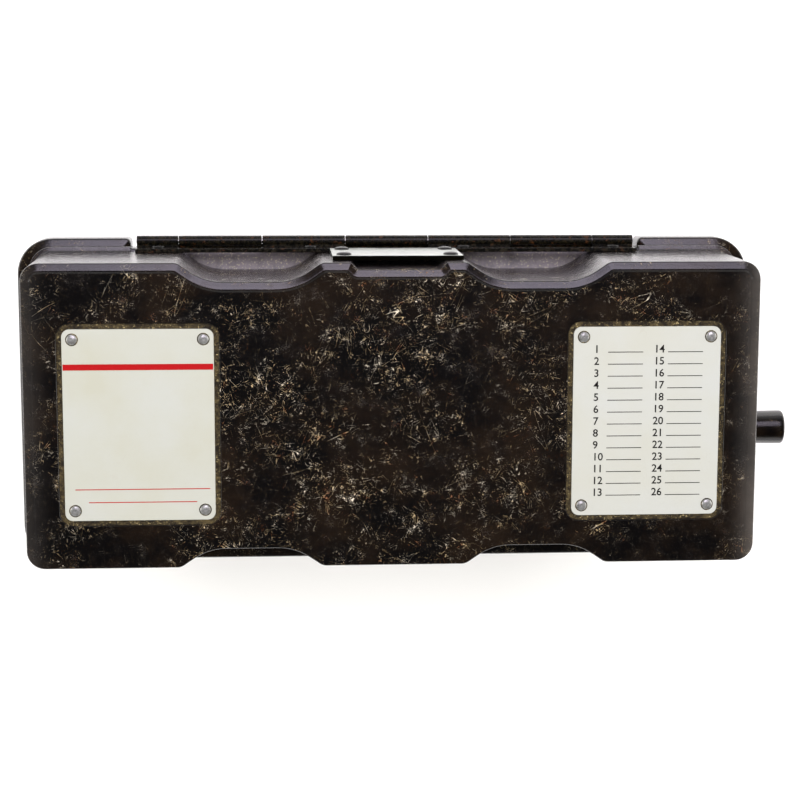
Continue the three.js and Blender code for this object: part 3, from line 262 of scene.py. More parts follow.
def slab(corners, low, high, bevel=0.0, segments=2):
    """A bmesh of an outline raised from low to high, with its top and bottom edges bevelled."""
    bm = bmesh.new()
    ring = start_ring(bm, outline_at(corners, low))
    base = bmesh.ops.contextual_create(bm, geom=ring_edges(bm, ring))["faces"]
    raised = bmesh.ops.extrude_face_region(bm, geom=base)["geom"]
    top = [g for g in raised if isinstance(g, bmesh.types.BMVert)]
    bmesh.ops.translate(bm, vec=(0, 0, high - low), verts=top)
    if bevel:
        level = [e for e in bm.edges if abs(e.verts[0].co.z - e.verts[1].co.z) < 1e-5]
        bmesh.ops.bevel(bm, geom=level, offset=bevel, segments=segments, profile=0.5, affect="EDGES",
                        material=-1, clamp_overlap=True)
    return bm


def merge(bm, part):
    """Move a finished part into a larger bmesh."""
    mesh = bpy.data.meshes.new("part")
    part.to_mesh(mesh)
    part.free()
    bm.from_mesh(mesh)
    bpy.data.meshes.remove(mesh)


def finish_piece(name, bm, body, key, stands_for=None, weighted=True):
    """Close a bmesh into a named object of one finish that rides on a body, in place of a node if given."""
    bmesh.ops.scale(bm, vec=(MM, MM, MM), verts=bm.verts)
    bmesh.ops.recalc_face_normals(bm, faces=bm.faces)
    mesh = bpy.data.meshes.new(name)
    bm.to_mesh(mesh)
    bm.free()
    mesh.polygons.foreach_set("use_smooth", [True] * len(mesh.polygons))
    mesh.set_sharp_from_angle(angle=SMOOTH_ANGLE)
    mesh.materials.append(finish[key])
    piece = bpy.data.objects.new(name, mesh)
    bpy.context.scene.collection.objects.link(piece)
    if weighted:
        weigh_normals(piece)
    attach(piece, body)
    if stands_for:
        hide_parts(stands_for)
    return piece


def weigh_normals(piece):
    """Shade the large faces of a piece flat and only its narrow ones round."""
    shading = piece.modifiers.new("Weighted normals", "WEIGHTED_NORMAL")
    shading.keep_sharp = True


def turned_piece(name, body, key, profile, segments, place, axis="z", stands_for=None, weighted=True):
    """A finished piece turned from one profile."""
    return finish_piece(name, turned(profile, segments, axis, place), body, key, stands_for, weighted)


def softened(node, key, width, segments=2):
    """A copy of a CAD node with its seams merged, its edges rounded and its curves shaded smooth."""
    bm = bmesh.new()
    bm.from_mesh(frame["nodes"][node].data)
    bmesh.ops.remove_doubles(bm, verts=bm.verts, dist=1e-6)
    bmesh.ops.dissolve_limit(bm, angle_limit=math.radians(1), verts=bm.verts, edges=bm.edges)
    bmesh.ops.scale(bm, vec=(1 / MM, 1 / MM, 1 / MM), verts=bm.verts)
    piece = finish_piece(node + "_skin", bm, NODE_BODY[node], key, node, weighted=False)
    rounding = piece.modifiers.new("Rounded edges", "BEVEL")
    rounding.width = width * MM
    rounding.segments = segments
    rounding.limit_method = "ANGLE"
    rounding.angle_limit = SMOOTH_ANGLE
    rounding.use_clamp_overlap = True
    weigh_normals(piece)


# Materials


def srgb(colour):
    """An sRGB hex colour as linear RGBA. A property's colour is linear already. A socket passes through."""
    if isinstance(colour, bpy.types.NodeSocket):
        return colour
    if not isinstance(colour, str):
        return (*colour[:3], 1.0)
    values = []
    for i in (1, 3, 5):
        c = int(colour[i:i + 2], 16) / 255
        values.append(c / 12.92 if c <= 0.04045 else ((c + 0.055) / 1.055) ** 2.4)
    return (*values, 1.0)


def per_mm(size):
    """Texture scale on object coordinates for a feature of this many millimetres."""
    return 1 / (size * MM)


def add(tree, kind, inputs=(), out=0, **settings):
    """Add a node with its settings, set or link its inputs, in order or by name, and return an output."""
    made = tree.nodes.new("ShaderNode" + kind)
    for key, value in settings.items():
        setattr(made, key, value)
    for key, value in (inputs.items() if isinstance(inputs, dict) else enumerate(inputs)):
        if isinstance(value, bpy.types.NodeSocket):
            tree.links.new(value, made.inputs[key])
        else:
            made.inputs[key].default_value = value
    return made.outputs[out] if made.outputs else None


# Numbers of the colour sockets on a Mix node
MIX_A, MIX_B, MIX_OUT = 6, 7, 2


def new_material(name, **shader):
    """An empty material with its shader's fixed values: returns it, its tree and its coordinates."""
    material = bpy.data.materials.new(name)
    material.use_nodes = True
    tree = material.node_tree
    tree.nodes.clear()
    body = add(tree, "BsdfPrincipled", {key.replace("_", " "): value for key, value in shader.items()})
    add(tree, "OutputMaterial", {"Surface": body})
    return material, tree, add(tree, "TexCoord", out="Object")


def dress(tree, colour, dull, height=None, strength=0.0, distance=0.0):
    """Give the shader its colour, its roughness and a relief whose distance is in millimetres."""
    sources = {"Base Color": colour, "Roughness": dull}
    if height is not None:
        relief = {"Height": height, "Strength": strength, "Distance": distance * MM}
        sources["Normal"] = add(tree, "Bump", relief)
    shader = tree.nodes["Principled BSDF"]
    for key, source in sources.items():
        if isinstance(source, bpy.types.NodeSocket):
            tree.links.new(source, shader.inputs[key])
        else:
            shader.inputs[key].default_value = source


def combine(tree, operation, first, *others):
    """One pattern from several: MULTIPLY leaves what they share, MAXIMUM the strongest of them."""
    for other in others:
        first = add(tree, "Math", (first, other), operation=operation)
    return first


def coated(tree, colour, *coats):
    """Coats laid over a colour, one after another. Each is the pattern it covers and its colour."""
    for cover, coat in coats:
        colour = add(tree, "Mix", {"Factor": cover, MIX_A: srgb(colour), MIX_B: srgb(coat)}, MIX_OUT,
                     data_type="RGBA")
    return colour


def clouds(tree, place, size, detail=4.0, roughness=0.6, low=0.0, high=1.0, least=0.0, most=1.0):
    """Blots up to about size millimetres across, from least to most as the noise rises from low to high."""
    noise = add(tree, "TexNoise", {"Vector": place, "Scale": per_mm(size), "Detail": detail,
                                   "Roughness": roughness})
    return add(tree, "MapRange", (noise, low, high, least, most))


def fades(tree, *rows):
    """Shares that change with place. A row is a coordinate, start and end in millimetres, and both shares."""
    return [add(tree, "MapRange", (along, start * MM, end * MM, at_start, at_end))
            for along, start, end, at_start, at_end in rows]


# How far one step of a seed moves a family of scratches, and the patches that break it up, in metres
SEED_SHIFT = (0.0137, 0.0091, 0.0053)
PATCH_SHIFT = (0.031, 0.017, 0.0)


def scratches(tree, place, turn, length, spacing, thin, patch, seed):
    """Thin lines of one direction: the middle contour of a stretched cloud, broken up by a patchy one."""
    laid = add(tree, "Mapping", {"Vector": place, "Location": [seed * step for step in SEED_SHIFT],
                                 "Rotation": (0.0, 0.0, math.radians(turn)),
                                 "Scale": (length, spacing, spacing)}, vector_type="TEXTURE")
    cloud = add(tree, "TexNoise", {"Vector": laid, "Scale": per_mm(1.0), "Detail": 1.0, "Roughness": 0.4,
                                   "Distortion": 0.05})
    away = add(tree, "Math", (cloud, 0.5), operation="SUBTRACT")
    away = add(tree, "Math", (away,), operation="ABSOLUTE")
    line = add(tree, "MapRange", (away, thin * 0.5, thin, 1.0, 0.0))
    shifted = add(tree, "Mapping", {"Vector": place, "Location": [seed * step for step in PATCH_SHIFT]})
    return combine(tree, "MULTIPLY", line, clouds(tree, shifted, patch, 4.0, 0.75, 0.54, 0.62))


# Direction in degrees, length, spacing and relative width of each family of scratches in the bakelite
SCRATCH_FAMILIES = ((8, 30, 2.6, 0.0065), (31, 14, 1.9, 0.0085), (58, 24, 3.2, 0.0055),
                    (82, 12, 1.8, 0.0085), (107, 26, 2.8, 0.006), (131, 34, 4.0, 0.0045),
                    (150, 13, 1.9, 0.0085), (171, 18, 2.3, 0.007))
# Direction, length and spacing of a few long hair lines, with the width, patches and seed they share
HAIR_LINES = ((24, 90, 7.0), (66, 70, 6.0), (118, 80, 8.0))
HAIR_THIN, HAIR_PATCH, HAIR_SEED = 0.002, 15, 40


def worn_bakelite(name, wear, seed, dark, brown, gloss=0.2, middle=False, sheened_dust=False):
    """Phenolic, moulded glossy and dark, then knocked about for years in use.

    The eye sees near-black brown with a hard shine, faint rubbed clouds, pale and rusty nicks and short fine
    scratches in every direction, more of them where hands and other kit meet it.
    """
    material, tree, place = new_material(name, IOR=1.6)
    tone = clouds(tree, place, 38, 6.0, 0.68)
    rubbed = clouds(tree, place, 7, 9.0, 0.78, 0.5, 0.8, 0.0, wear)
    region = clouds(tree, place, 22, 5.0, 0.65, 0.44, 0.62, 0.08, 1.0)
    colour = coated(tree, dark, (add(tree, "MapRange", (tone, 0.45, 0.62)), brown),
                    (combine(tree, "MULTIPLY", rubbed, 0.1), "#453d36"))
    if middle:
        region, colour = lid_wear(tree, place, tone, region, colour)
    lines = [scratches(tree, place, turn, length, spacing, thin, 3.0 + number % 4, number + seed)
             for number, (turn, length, spacing, thin) in enumerate(SCRATCH_FAMILIES)]
    lines += [scratches(tree, place, turn, length, spacing, HAIR_THIN, HAIR_PATCH, number + seed + HAIR_SEED)
              for number, (turn, length, spacing) in enumerate(HAIR_LINES)]
    nicks = [clouds(tree, place, size, 2.0, 0.6, low, low + 0.05) for size, low in ((0.9, 0.63), (0.5, 0.64))]
    chipped = combine(tree, "MULTIPLY", combine(tree, "MAXIMUM", *nicks),
                      clouds(tree, place, 7, 6.0, 0.75, 0.49, 0.6))
    depth = clouds(tree, place, 3.5, 4.0, 0.7, 0.43, 0.62, 0.22, 1.0)
    marks = combine(tree, "MULTIPLY", combine(tree, "MAXIMUM", *lines, chipped), region, depth, wear)
    hue = clouds(tree, place, 6)
    pale = coated(tree, "#9c6230", (add(tree, "MapRange", (hue, 0.38, 0.44)), "#c2aa7c"),
                  (add(tree, "MapRange", (hue, 0.5, 0.6)), "#f7ead0"))
    colour = coated(tree, colour, (marks, pale))
    dull = add(tree, "Math", (rubbed, 0.2, gloss), operation="MULTIPLY_ADD")
    dull = add(tree, "Math", (marks, 0.3, dull), operation="MULTIPLY_ADD")
    # Dust on the sill, with its purple-grey film a painted sheen
    if sheened_dust:
        dust_sheen = sill_dust_sheen(tree, place)
        grit = clouds(tree, place, 0.9, 3.0, 0.7, 0.56, 0.66)
        colour = coated(tree, colour, (dust_sheen, coated(tree, "#6c646a", (grit, "#a69c88"))))
        dull = add(tree, "Math", (dust_sheen, 0.3, dull), operation="MULTIPLY_ADD")
    skin = combine(tree, "MULTIPLY", clouds(tree, place, 0.7), 0.9)
    height = add(tree, "Math", (marks, -0.6, skin), operation="MULTIPLY_ADD")
    dress(tree, colour, dull, height, 0.42, 0.1)
    return material


def lid_wear(tree, place, tone, region, colour):
    """The lid's own wear: where its marks lie, a painted grey highlight along both ends, and dust with a
    painted sheen on the hinge side.
    """
    x, y, z = add(tree, "SeparateXYZ", (place,)).node.outputs
    across = add(tree, "Math", (x,), operation="ABSOLUTE")
    # Fewer marks towards the ends, and hardly any on the polished raised edge
    region = combine(tree, "MULTIPLY", region, *fades(tree, (across, 50, 135, 1.0, 0.45),
                                                      (z, FACE_TOP - 0.8, FACE_TOP - 0.5, 1.0, 0.2)))
    # Painted highlight: a soft grey band along both ends of the face, stronger on the right, standing in for
    # the light the ends catch
    end, on_face, side = fades(tree, (across, 126, 139.5, 0.0, 1.0),
                               (z, FACE_TOP - 2, FACE_TOP - 1.4, 0.0, 1.0), (x, -120, 120, 0.2, 0.5))
    uneven = add(tree, "MapRange", (tone, 0.3, 0.7, 0.4, 0.8))
    end = combine(tree, "MULTIPLY", end, end, end, on_face, side, uneven)
    # Dust and a painted purple-grey sheen on the walls under the hinge-side edge, less of both lower down
    hung_dust_sheen = combine(tree, "MULTIPLY", clouds(tree, place, 5, 8.0, 0.75, 0.32, 0.62, 0.15, 0.62),
                   *fades(tree, (y, 46, 49, 0.0, 1.0), (z, FACE_TOP - 1.7, FACE_TOP - 2.6, 0.0, 1.0),
                          (z, SEAM_Z + 20, SEAM_Z + 36, 0.25, 1.0)))
    return region, coated(tree, colour, (end, "#6b6661"), (hung_dust_sheen, "#6a6468"))


def sill_dust_sheen(tree, place):
    """Where dust and a painted purple-grey sheen lie on the case's sloping sill, open to the air under each
    scoop on the hinge side.
    """
    x, y, z = add(tree, "SeparateXYZ", (place,)).node.outputs
    off = add(tree, "Math", (x,), operation="ABSOLUTE")
    off = add(tree, "Math", (off, SCOOP_CENTRE * MM), operation="SUBTRACT")
    off = add(tree, "Math", (off,), operation="ABSOLUTE")
    dust_sheen = fades(tree, (off, SCOOP_MOUTH + 5, SCOOP_MOUTH - 6, 0.0, 1.0), (y, 50.6, 52.2, 0.0, 1.0),
                 (y, 60.4, 59.2, 0.0, 1.0), (z, SEAM_Z - 2.9, SEAM_Z - 2.5, 0.0, 1.0))
    return combine(tree, "MULTIPLY", *dust_sheen, clouds(tree, place, 9, 8.0, 0.7, 0.34, 0.56, 0.3, 1.0))


def painted_metal(name, face, dirt, gloss, rust="#6b3d1e", amount=0.3, metallic=0.0, rust_from=0.62,
                  blot=12.0, shine=0.5):
    """Sheet metal with a stoved coat: even colour, a soft shine, chipped to rust and dirty in its corners."""
    material, tree, place = new_material(name, Metallic=metallic, Specular_IOR_Level=shine)
    grime = clouds(tree, place, blot, 7.0, 0.7, 0.45, 0.75, 0.0, amount)
    rusted = clouds(tree, place, 4, 8.0, 0.75, rust_from, rust_from + 0.07, 0.0, min(1.0, 2 * amount))
    worst = combine(tree, "MAXIMUM", grime, rusted)
    dull = add(tree, "Math", (worst, 0.4, gloss), operation="MULTIPLY_ADD")
    height = add(tree, "Math", (rusted, 1.0, clouds(tree, place, 0.8, 3.0)), operation="MULTIPLY_ADD")
    dress(tree, coated(tree, face, (grime, dirt), (rusted, rust)), dull, height, 0.3, 0.08)
    return material


def bare_metal(name, colour, gloss, tarnish, grain=(6.0, 0.12), amount=0.4, metallic=1.0, blot=8.0,
               edge_z=None):
    """Metal left bright from the tool: a grain along the cut, tarnished in clouds, with dull spots.

    Above edge_z, where it is given, old dirt is caked on.
    """
    material, tree, place = new_material(name, Metallic=metallic)
    cloud = clouds(tree, place, blot, 7.0, 0.7, 0.42, 0.7, 0.0, amount)
    spots = clouds(tree, place, 1.6, 4.0, 0.7, 0.62, 0.7, 0.0, amount)
    shade = coated(tree, colour, (cloud, tarnish), (spots, tarnish))
    if edge_z:
        height = add(tree, "SeparateXYZ", (place,), "Z")
        crumbs = clouds(tree, place, 1.2, 3.0)
        ragged = add(tree, "Math", (crumbs, 0.9 * MM, height), operation="MULTIPLY_ADD")
        caked = fades(tree, (ragged, edge_z, edge_z + 0.2, 0.0, 1.0))[0]
        shade = coated(tree, shade, (caked, "#1d1c12"))
    along, over = grain
    laid = add(tree, "Mapping", {"Vector": place, "Scale": (1 / along, 1 / over, 1 / over)})
    lines = add(tree, "TexNoise", {"Vector": laid, "Scale": per_mm(1.0), "Detail": 3.0})
    worst = combine(tree, "MAXIMUM", cloud, spots)
    dull = add(tree, "Math", (worst, 0.35, gloss), operation="MULTIPLY_ADD")
    dress(tree, shade, dull, lines, 0.15, 0.03)
    return material


def printed_enamel(name, face, dirt, amount):
    """A flat enamelled sign plate: cream, softly shiny, yellowed in clouds, with grey marks and pinholes."""
    material, tree, place = new_material(name, IOR=1.5)
    aged = clouds(tree, place, 30, 5.0, 0.6, 0.35, 0.7, 0.0, amount)
    specks = clouds(tree, place, 1.1, 5.0, 0.75, 0.66, 0.72, 0.0, 0.5)
    hair = combine(tree, "MAXIMUM", scratches(tree, place, 33, 14, 5.0, 0.008, 9, 3),
                   scratches(tree, place, 104, 9, 4.0, 0.008, 7, 5))
    colour = coated(tree, face, (aged, dirt), (specks, "#8d8a78"),
                    (combine(tree, "MULTIPLY", hair, 0.35), "#9c9a8e"))
    dull = add(tree, "Math", (aged, 0.2, 0.3), operation="MULTIPLY_ADD")
    dress(tree, colour, dull, clouds(tree, place, 5), 0.2, 0.1)
    return material


def printed_ink(name, colour, worn):
    """Screen-printed ink: a flat opaque coat, a little worn and thin in specks."""
    material, tree, place = new_material(name, IOR=1.25)
    thin = clouds(tree, place, 1.4, 6.0, 0.8, 0.58, 0.74, 0.0, 0.5)
    dress(tree, coated(tree, colour, (thin, worn)), 0.7, clouds(tree, place, 0.5, 3.0), 0.1, 0.02)
    return material


def rubber_like(name, colour, worn, gloss):
    """Moulded rubber: matt black with a bloom and fine pores."""
    material, tree, place = new_material(name)
    bloom = clouds(tree, place, 6, 6.0, 0.7, 0.4, 0.75, 0.0, 0.6)
    dull = add(tree, "MapRange", (bloom, 0.0, 0.6, gloss, gloss + 0.2))
    dress(tree, coated(tree, colour, (bloom, worn)), dull, clouds(tree, place, 0.7, 3.0), 0.3, 0.06)
    return material


def packed_dirt(name):
    """Dust and old polish caked in a corner: dark and matt, with crumbs of khaki."""
    material, tree, place = new_material(name)
    caked = clouds(tree, place, 2.2, 8.0, 0.8, 0.44, 0.62)
    crumbs = clouds(tree, place, 0.8, 3.0, 0.7, 0.6, 0.68)
    dress(tree, coated(tree, "#15110b", (caked, "#4d4229"), (crumbs, "#9a8b63")), 0.9, caked, 0.7, 0.15)
    return material


def wound_wire(name, colour, shadow, pitch):
    """Lacquered copper wire in close turns round an upright bobbin: fine shiny ridges."""
    material, tree, place = new_material(name, Metallic=0.6)
    turns = add(tree, "TexWave", {"Vector": place, "Scale": per_mm(pitch) / math.tau, "Distortion": 0.4}, 1,
                wave_type="BANDS", bands_direction="Z")
    dress(tree, coated(tree, shadow, (add(tree, "MapRange", (turns, 0.1, 0.6)), colour)),
          add(tree, "MapRange", (turns, 0.0, 1.0, 0.55, 0.3)), turns, 0.6, 0.3)
    return material


def window_glass(name):
    """Clear pressed glass over the call indicator, a little greasy."""
    material, tree, place = new_material(name, Transmission_Weight=0.95, IOR=1.5)
    grease = clouds(tree, place, 4, 5.0, 0.6, 0.4, 0.7, 0.03, 0.16)
    dress(tree, coated(tree, "#f4faf6", (grease, "#cfd8cf")), grease)
    return material


# Sizes and colours that a user may change


def size_property(name, description, millimetres):
    """A length that a user may change, given in millimetres."""
    return bpy.props.FloatProperty(name=name, description=description, default=millimetres * MM, min=0.0,
                                   subtype="DISTANCE", unit="LENGTH")


def colour_property(name, description, hex_code):
    """A colour that a user may change."""
    return bpy.props.FloatVectorProperty(name=name, description=description, default=srgb(hex_code)[:3],
                                         min=0.0, max=1.0, size=3, subtype="COLOR")


class MouldingSizes(bpy.types.PropertyGroup):
    """Forms of the two bakelite mouldings."""

    lid_corner: size_property("Lid corner", "Radius of the lid's upright corners", 7)
    border: size_property("Border", "Width of the raised edge round the lid's face", 2.8)
    border_drop: size_property("Border slope", "Fall of the raised edge from its crest to the outside", 1.0)
    scoop_corner: size_property("Scoop corner", "Radius where a finger scoop meets the lid's side", 5.0)
    rim_corner: size_property("Rim corner", "Radius of the rim's upright corners", 14.4)
    rim_slope: size_property("Rim slope", "Fall of the rim's top from the lid to the outside", 1.3)


class PlateSizes(bpy.types.PropertyGroup):
    """Sizes of the two writing plates and their print."""

    edge: size_property("Plate edge", "Rounding of a plate's edge", 0.2)
    stripe: size_property("Stripe", "Width of the coloured stripe", 2.3)
    stripe_down: size_property("Stripe place", "From the plate's top edge down to the stripe's middle", 14.4)
    number_height: size_property("Number height", "Height of the printed numbers", 3.0)
    row_pitch: size_property("Row pitch", "Distance from one row of numbers to the next", 4.65)


class Finishes(bpy.types.PropertyGroup):
    """Main colours of the telephone."""

    bakelite: colour_property("Bakelite", "Darkest tone of the moulded case", "#040303")
    brown: colour_property("Bakelite brown", "Brown that shows through the moulded case", "#140d07")
    plate: colour_property("Plate", "Face of the plate with the stripe", "#a2a49d")
    number_plate: colour_property("Number plate", "Face of the plate with the numbers", "#a4a6a1")
    stripe: colour_property("Stripe", "Printed stripe", "#93090e")


# Finishes shared by several pieces, made once by the first operator
finish = {}

# The record's slot that each finish belongs to. CAD nodes take the first finish of their slot.
FINISH_SLOT = {
    "bakelite": "bakelite", "lid": "bakelite", "case": "bakelite",
    "plate": "plate_enamel", "card_plate": "plate_enamel",
    "print_red": "plate_enamel", "print_black": "plate_enamel", "print_white": "plate_enamel",
    "bright_steel": "bright_steel", "aluminium": "bright_steel",
    "dark_steel": "dark_steel", "hinge": "dark_steel",
    "zinc": "zinc_plate", "brass": "brass", "rubber": "rubber", "dirt": "rubber", "glass": "clear_glass",
    "lacquer": "red_lacquer", "winding": "winding", "jacket": "cell_jacket", "pitch": "cell_jacket",
}


class TELEPHONE_OT_finishes(bpy.types.Operator):
    """Make the materials and lay them on the CAD nodes that stay visible"""

    bl_idname = "telephone.finishes"
    bl_label = "Finishes"
    bl_options = {"REGISTER", "UNDO"}

    def execute(self, context):
        tones = context.scene.telephone_finishes
        dark, brown = tones.bakelite, tones.brown
        finish.update(
            lid=worn_bakelite("Worn moulded bakelite", 1.0, 0, dark, brown, middle=True),
            case=worn_bakelite("Handled moulded bakelite", 0.45, 9, dark, brown, sheened_dust=True),
            bakelite=worn_bakelite("Clean moulded bakelite", 0.16, 21, dark, brown, gloss=0.16),
            plate=printed_enamel("Yellowed enamel plate", tones.plate, "#9b9a87", 0.6),
            card_plate=printed_enamel("Enamel number plate", tones.number_plate, "#a1a195", 0.8),
            hinge=painted_metal("Blackened hinge steel", "#050504", "#241f11", 0.2, "#3d230f", 0.9,
                                rust_from=0.57, blot=1.6, shine=0.2),
            dark_steel=painted_metal("Stoved black steel", "#131312", "#26241f", 0.3, "#5b3b22", 0.22, 0.3),
            lacquer=painted_metal("Baked red lacquer", "#8f1d17", "#5f1410", 0.35, "#5b2a1a", 0.15),
            bright_steel=bare_metal("Turned bright steel", "#b4b2ac", 0.26, "#6f6a5e"),
            aluminium=bare_metal("Set aluminium rivets", "#c4c5c2", 0.3, "#3f3d35", (3.0, 0.2), 0.85, 0.8,
                                 1.5),
            zinc=bare_metal("Rolled zinc plate", "#b9bdb8", 0.3, "#6c7266", (9.0, 0.15), 0.35,
                            edge_z=SLOT_DIRT_Z),
            brass=bare_metal("Turned brass", "#b08d4a", 0.25, "#6b5228", (3.0, 0.2), 0.45),
            rubber=rubber_like("Moulded black rubber", "#151515", "#2a2826", 0.6),
            jacket=rubber_like("Waxed card cell jacket", "#5d4c33", "#84714f", 0.55),
            winding=wound_wire("Lacquered copper winding", "#8f4c2a", "#3a1c0f", 0.6),
            glass=window_glass("Pressed indicator glass"),
            print_red=printed_ink("Printed red ink", tones.stripe, "#8a4038"),
            print_black=printed_ink("Printed black ink", "#161514", "#4a4843"),
            print_white=printed_ink("Filled white lettering paint", "#bdbbb0", "#6f6d64"),
            dirt=packed_dirt("Packed dust and polish"),
        )
        finish["pitch"] = finish["dirt"]
        by_slot = {slot: finish[key] for key, slot in reversed(FINISH_SLOT.items())}
        for name, node in frame["nodes"].items():
            for i in range(max(1, len(node.material_slots))):
                if i >= len(node.data.materials):
                    node.data.materials.append(by_slot[NODE_SLOT[name]])
                node.material_slots[i].material = by_slot[NODE_SLOT[name]]
        return {"FINISHED"}


def draft(points, width, depth, slope, level):
    """Spread an outline by the mould's draft, which is nothing at a level and grows below it."""
    spread = []
    for x, y, z in points:
        grown = (level - z) * slope
        spread.append((x * (1 + grown / (width / 2)), y * (1 + grown / (depth / 2)), z))
    return spread


def lid_corners(corner, mouth, notch):
    """The lid's outline: four corners, four finger scoops, and the recess behind the slot plate."""
    x, y = LID_WIDTH / 2, LID_DEPTH / 2

    def scoop(centre, side):
        run = [(-SCOOP_MOUTH, 0, mouth, 6), (-SCOOP_FLOOR, SCOOP_DEPTH, SCOOP_BEND, 12),
               (SCOOP_FLOOR, SCOOP_DEPTH, SCOOP_BEND, 12), (SCOOP_MOUTH, 0, mouth, 6)]
        return [(centre - side * dx, side * (y - dy), r, n) for dx, dy, r, n in run]

    deep = max(notch, 0.02)
    bend = 0.5 if notch > 1 else 0.001
    recess = [(SLOT_X + SLOT_HALF + deep / 2, y, bend, 3), (SLOT_X + SLOT_HALF - deep / 2, y - deep, bend, 3),
              (SLOT_X + deep / 2 - SLOT_HALF, y - deep, bend, 3), (SLOT_X - SLOT_HALF - deep / 2, y, bend, 3)]
    return ([(-x, -y, corner, 8)] + scoop(-SCOOP_CENTRE, -1) + scoop(SCOOP_CENTRE, -1)
            + [(x, -y, corner, 8), (x, y, corner, 8)]
            + scoop(SCOOP_CENTRE, 1) + recess + scoop(-SCOOP_CENTRE, 1) + [(-x, y, corner, 8)])


def lid_ring(sizes, inset, z, notch=0.0):
    """The lid's outline at one height, drawn in by inset, with the slot plate's recess as deep as notch."""
    corners = lid_corners(sizes.lid_corner / MM, sizes.scoop_corner / MM, notch)
    return draft(outline_at(corners, z, inset), LID_WIDTH, LID_DEPTH, LID_SLOPE, FACE_TOP)


class TELEPHONE_OT_lid(bpy.types.Operator):
    """Mould the lid: scooped sides, raised edge, framed recesses for the plates, hollow inside"""

    bl_idname = "telephone.lid"
    bl_label = "Lid moulding"
    bl_options = {"REGISTER", "UNDO"}

    def execute(self, context):
        sizes = context.scene.telephone_moulding
        bm = bmesh.new()
        ring = loft(bm, self.walls(sizes) + self.raised_edge(sizes), closed=False)
        face = FACE_TOP - 1.0
        wells = []
        for side in (-1, 1):
            well = start_ring(bm, outline_at(plate_corners(side, PLATE_MARGIN + 0.25), face))
            wells.append(well)
            for grow, z in ((PLATE_MARGIN, face - 0.2), (PLATE_MARGIN - 0.15, PLATE_SEAT)):
                well = grow_ring(bm, well, outline_at(plate_corners(side, grow), z))
            fill_rings(bm, well)
        fill_rings(bm, ring, *wells)
        finish_piece("lid_moulding", bm, "lid", "lid", "lid_shell")
        self.flange(sizes)
        return {"FINISHED"}

    def walls(self, sizes):
        """From the hollow's roof down the inner wall, round the foot, up the outside and over the edge."""
        low = LID_LOW.z
        shoulder = FACE_TOP - sizes.border_drop / MM - EDGE_ROUND
        # Inset, height and the depth of the slot plate's recess
        course = [(7, FACE_TOP - 5, 3), (5.2, FACE_TOP - 5.6, 3), (4.2, FACE_TOP - 7.5, 3),
                  (4, FACE_TOP - 10, 3), (4, SEAM_Z + 11, 3), (4, SEAM_Z + 8, 0), (4, low + 0.3, 0),
                  (3.7, low, 0), (0.3, low, 0), (0, low + 0.3, 0), (0, SEAM_Z + 13, 0),
                  (0, SEAM_Z + 16, SLOT_DEEP), (0, shoulder, SLOT_DEEP)]
        for step in (0.35, 0.65, 0.9, 1.0):
            angle = step * EDGE_ANGLE
            inset, up = EDGE_ROUND * (1 - math.cos(angle)), EDGE_ROUND * math.sin(angle)
            course.append((inset, shoulder + up, SLOT_DEEP))
        return [lid_ring(sizes, *row) for row in course]

    def raised_edge(self, sizes):
        """The bead round the face. It stands up along the hinge side and dies away down the two ends."""
        border, face = sizes.border / MM, FACE_TOP - 1.0
        sections = []
        for inset, down in ((1.0, 0.8), (border - 0.5, 0.17), (border, 0.06), (border + 0.3, 0.06),
                            (border + 0.55, 0.2), (border + 0.8, 0.5), (border + 1.0, 0.84),
                            (border + 1.3, 1.0)):
            points = []
            for x, y, z in lid_ring(sizes, inset, FACE_TOP - down, SLOT_DEEP):
                share = max(0.0, min(1.0, (y - CREST_LOST) / (CREST_FULL - CREST_LOST)))
                points.append((x, y, face + (z - face) * share))
            sections.append(points)
        return sections

    def flange(self, sizes):
        """The lid's lower edge stands out a little all round, except at the hinge and the latch."""
        low, reach = LID_LOW.z, FLANGE_REACH
        top = low + FLANGE_HEIGHT
        bm = bmesh.new()
        inner = ring = start_ring(bm, lid_ring(sizes, 1.0, low + 0.05))
        for inset, z in ((0.3 - reach, low + 0.05), (-reach, low + 0.35), (-reach, top - 0.5),
                         (0.2 - reach, top - 0.15), (0.6 - reach, top), (-0.5, top + 0.2), (0.0, top + 0.7),
                         (1.0, top + 0.7)):
            ring = grow_ring(bm, ring, lid_ring(sizes, inset, z))
        bmesh.ops.bridge_loops(bm, edges=ring_edges(bm, ring) + ring_edges(bm, inner))
        cut_gap(bm, HINGE_HALF, 1)
        cut_gap(bm, LATCH_HALF, -1)
        finish_piece("lid_flange", bm, "lid", "lid")


def cut_gap(bm, half, side):
    """Take the part between -half and half out of a closed band on one long side, and cap the two ends."""
    for x, normal in ((half, 1), (-half, -1)):
        geom = [f for f in bm.faces if f.calc_center_median().y * side > LONG_SIDE]
        geom += list({e for f in geom for e in f.edges}) + list({v for f in geom for v in f.verts})
        bmesh.ops.bisect_plane(bm, geom=geom, dist=1e-4, plane_co=(x, 0, 0), plane_no=(normal, 0, 0))
    middles = {f: f.calc_center_median() for f in bm.faces}
    gone = [f for f, middle in middles.items() if middle.y * side > LONG_SIDE and abs(middle.x) < half]
    bmesh.ops.delete(bm, geom=gone, context="FACES")
    open_edges = [e for e in bm.edges if len(e.link_faces) == 1]
    bmesh.ops.holes_fill(bm, edges=open_edges, sides=0)


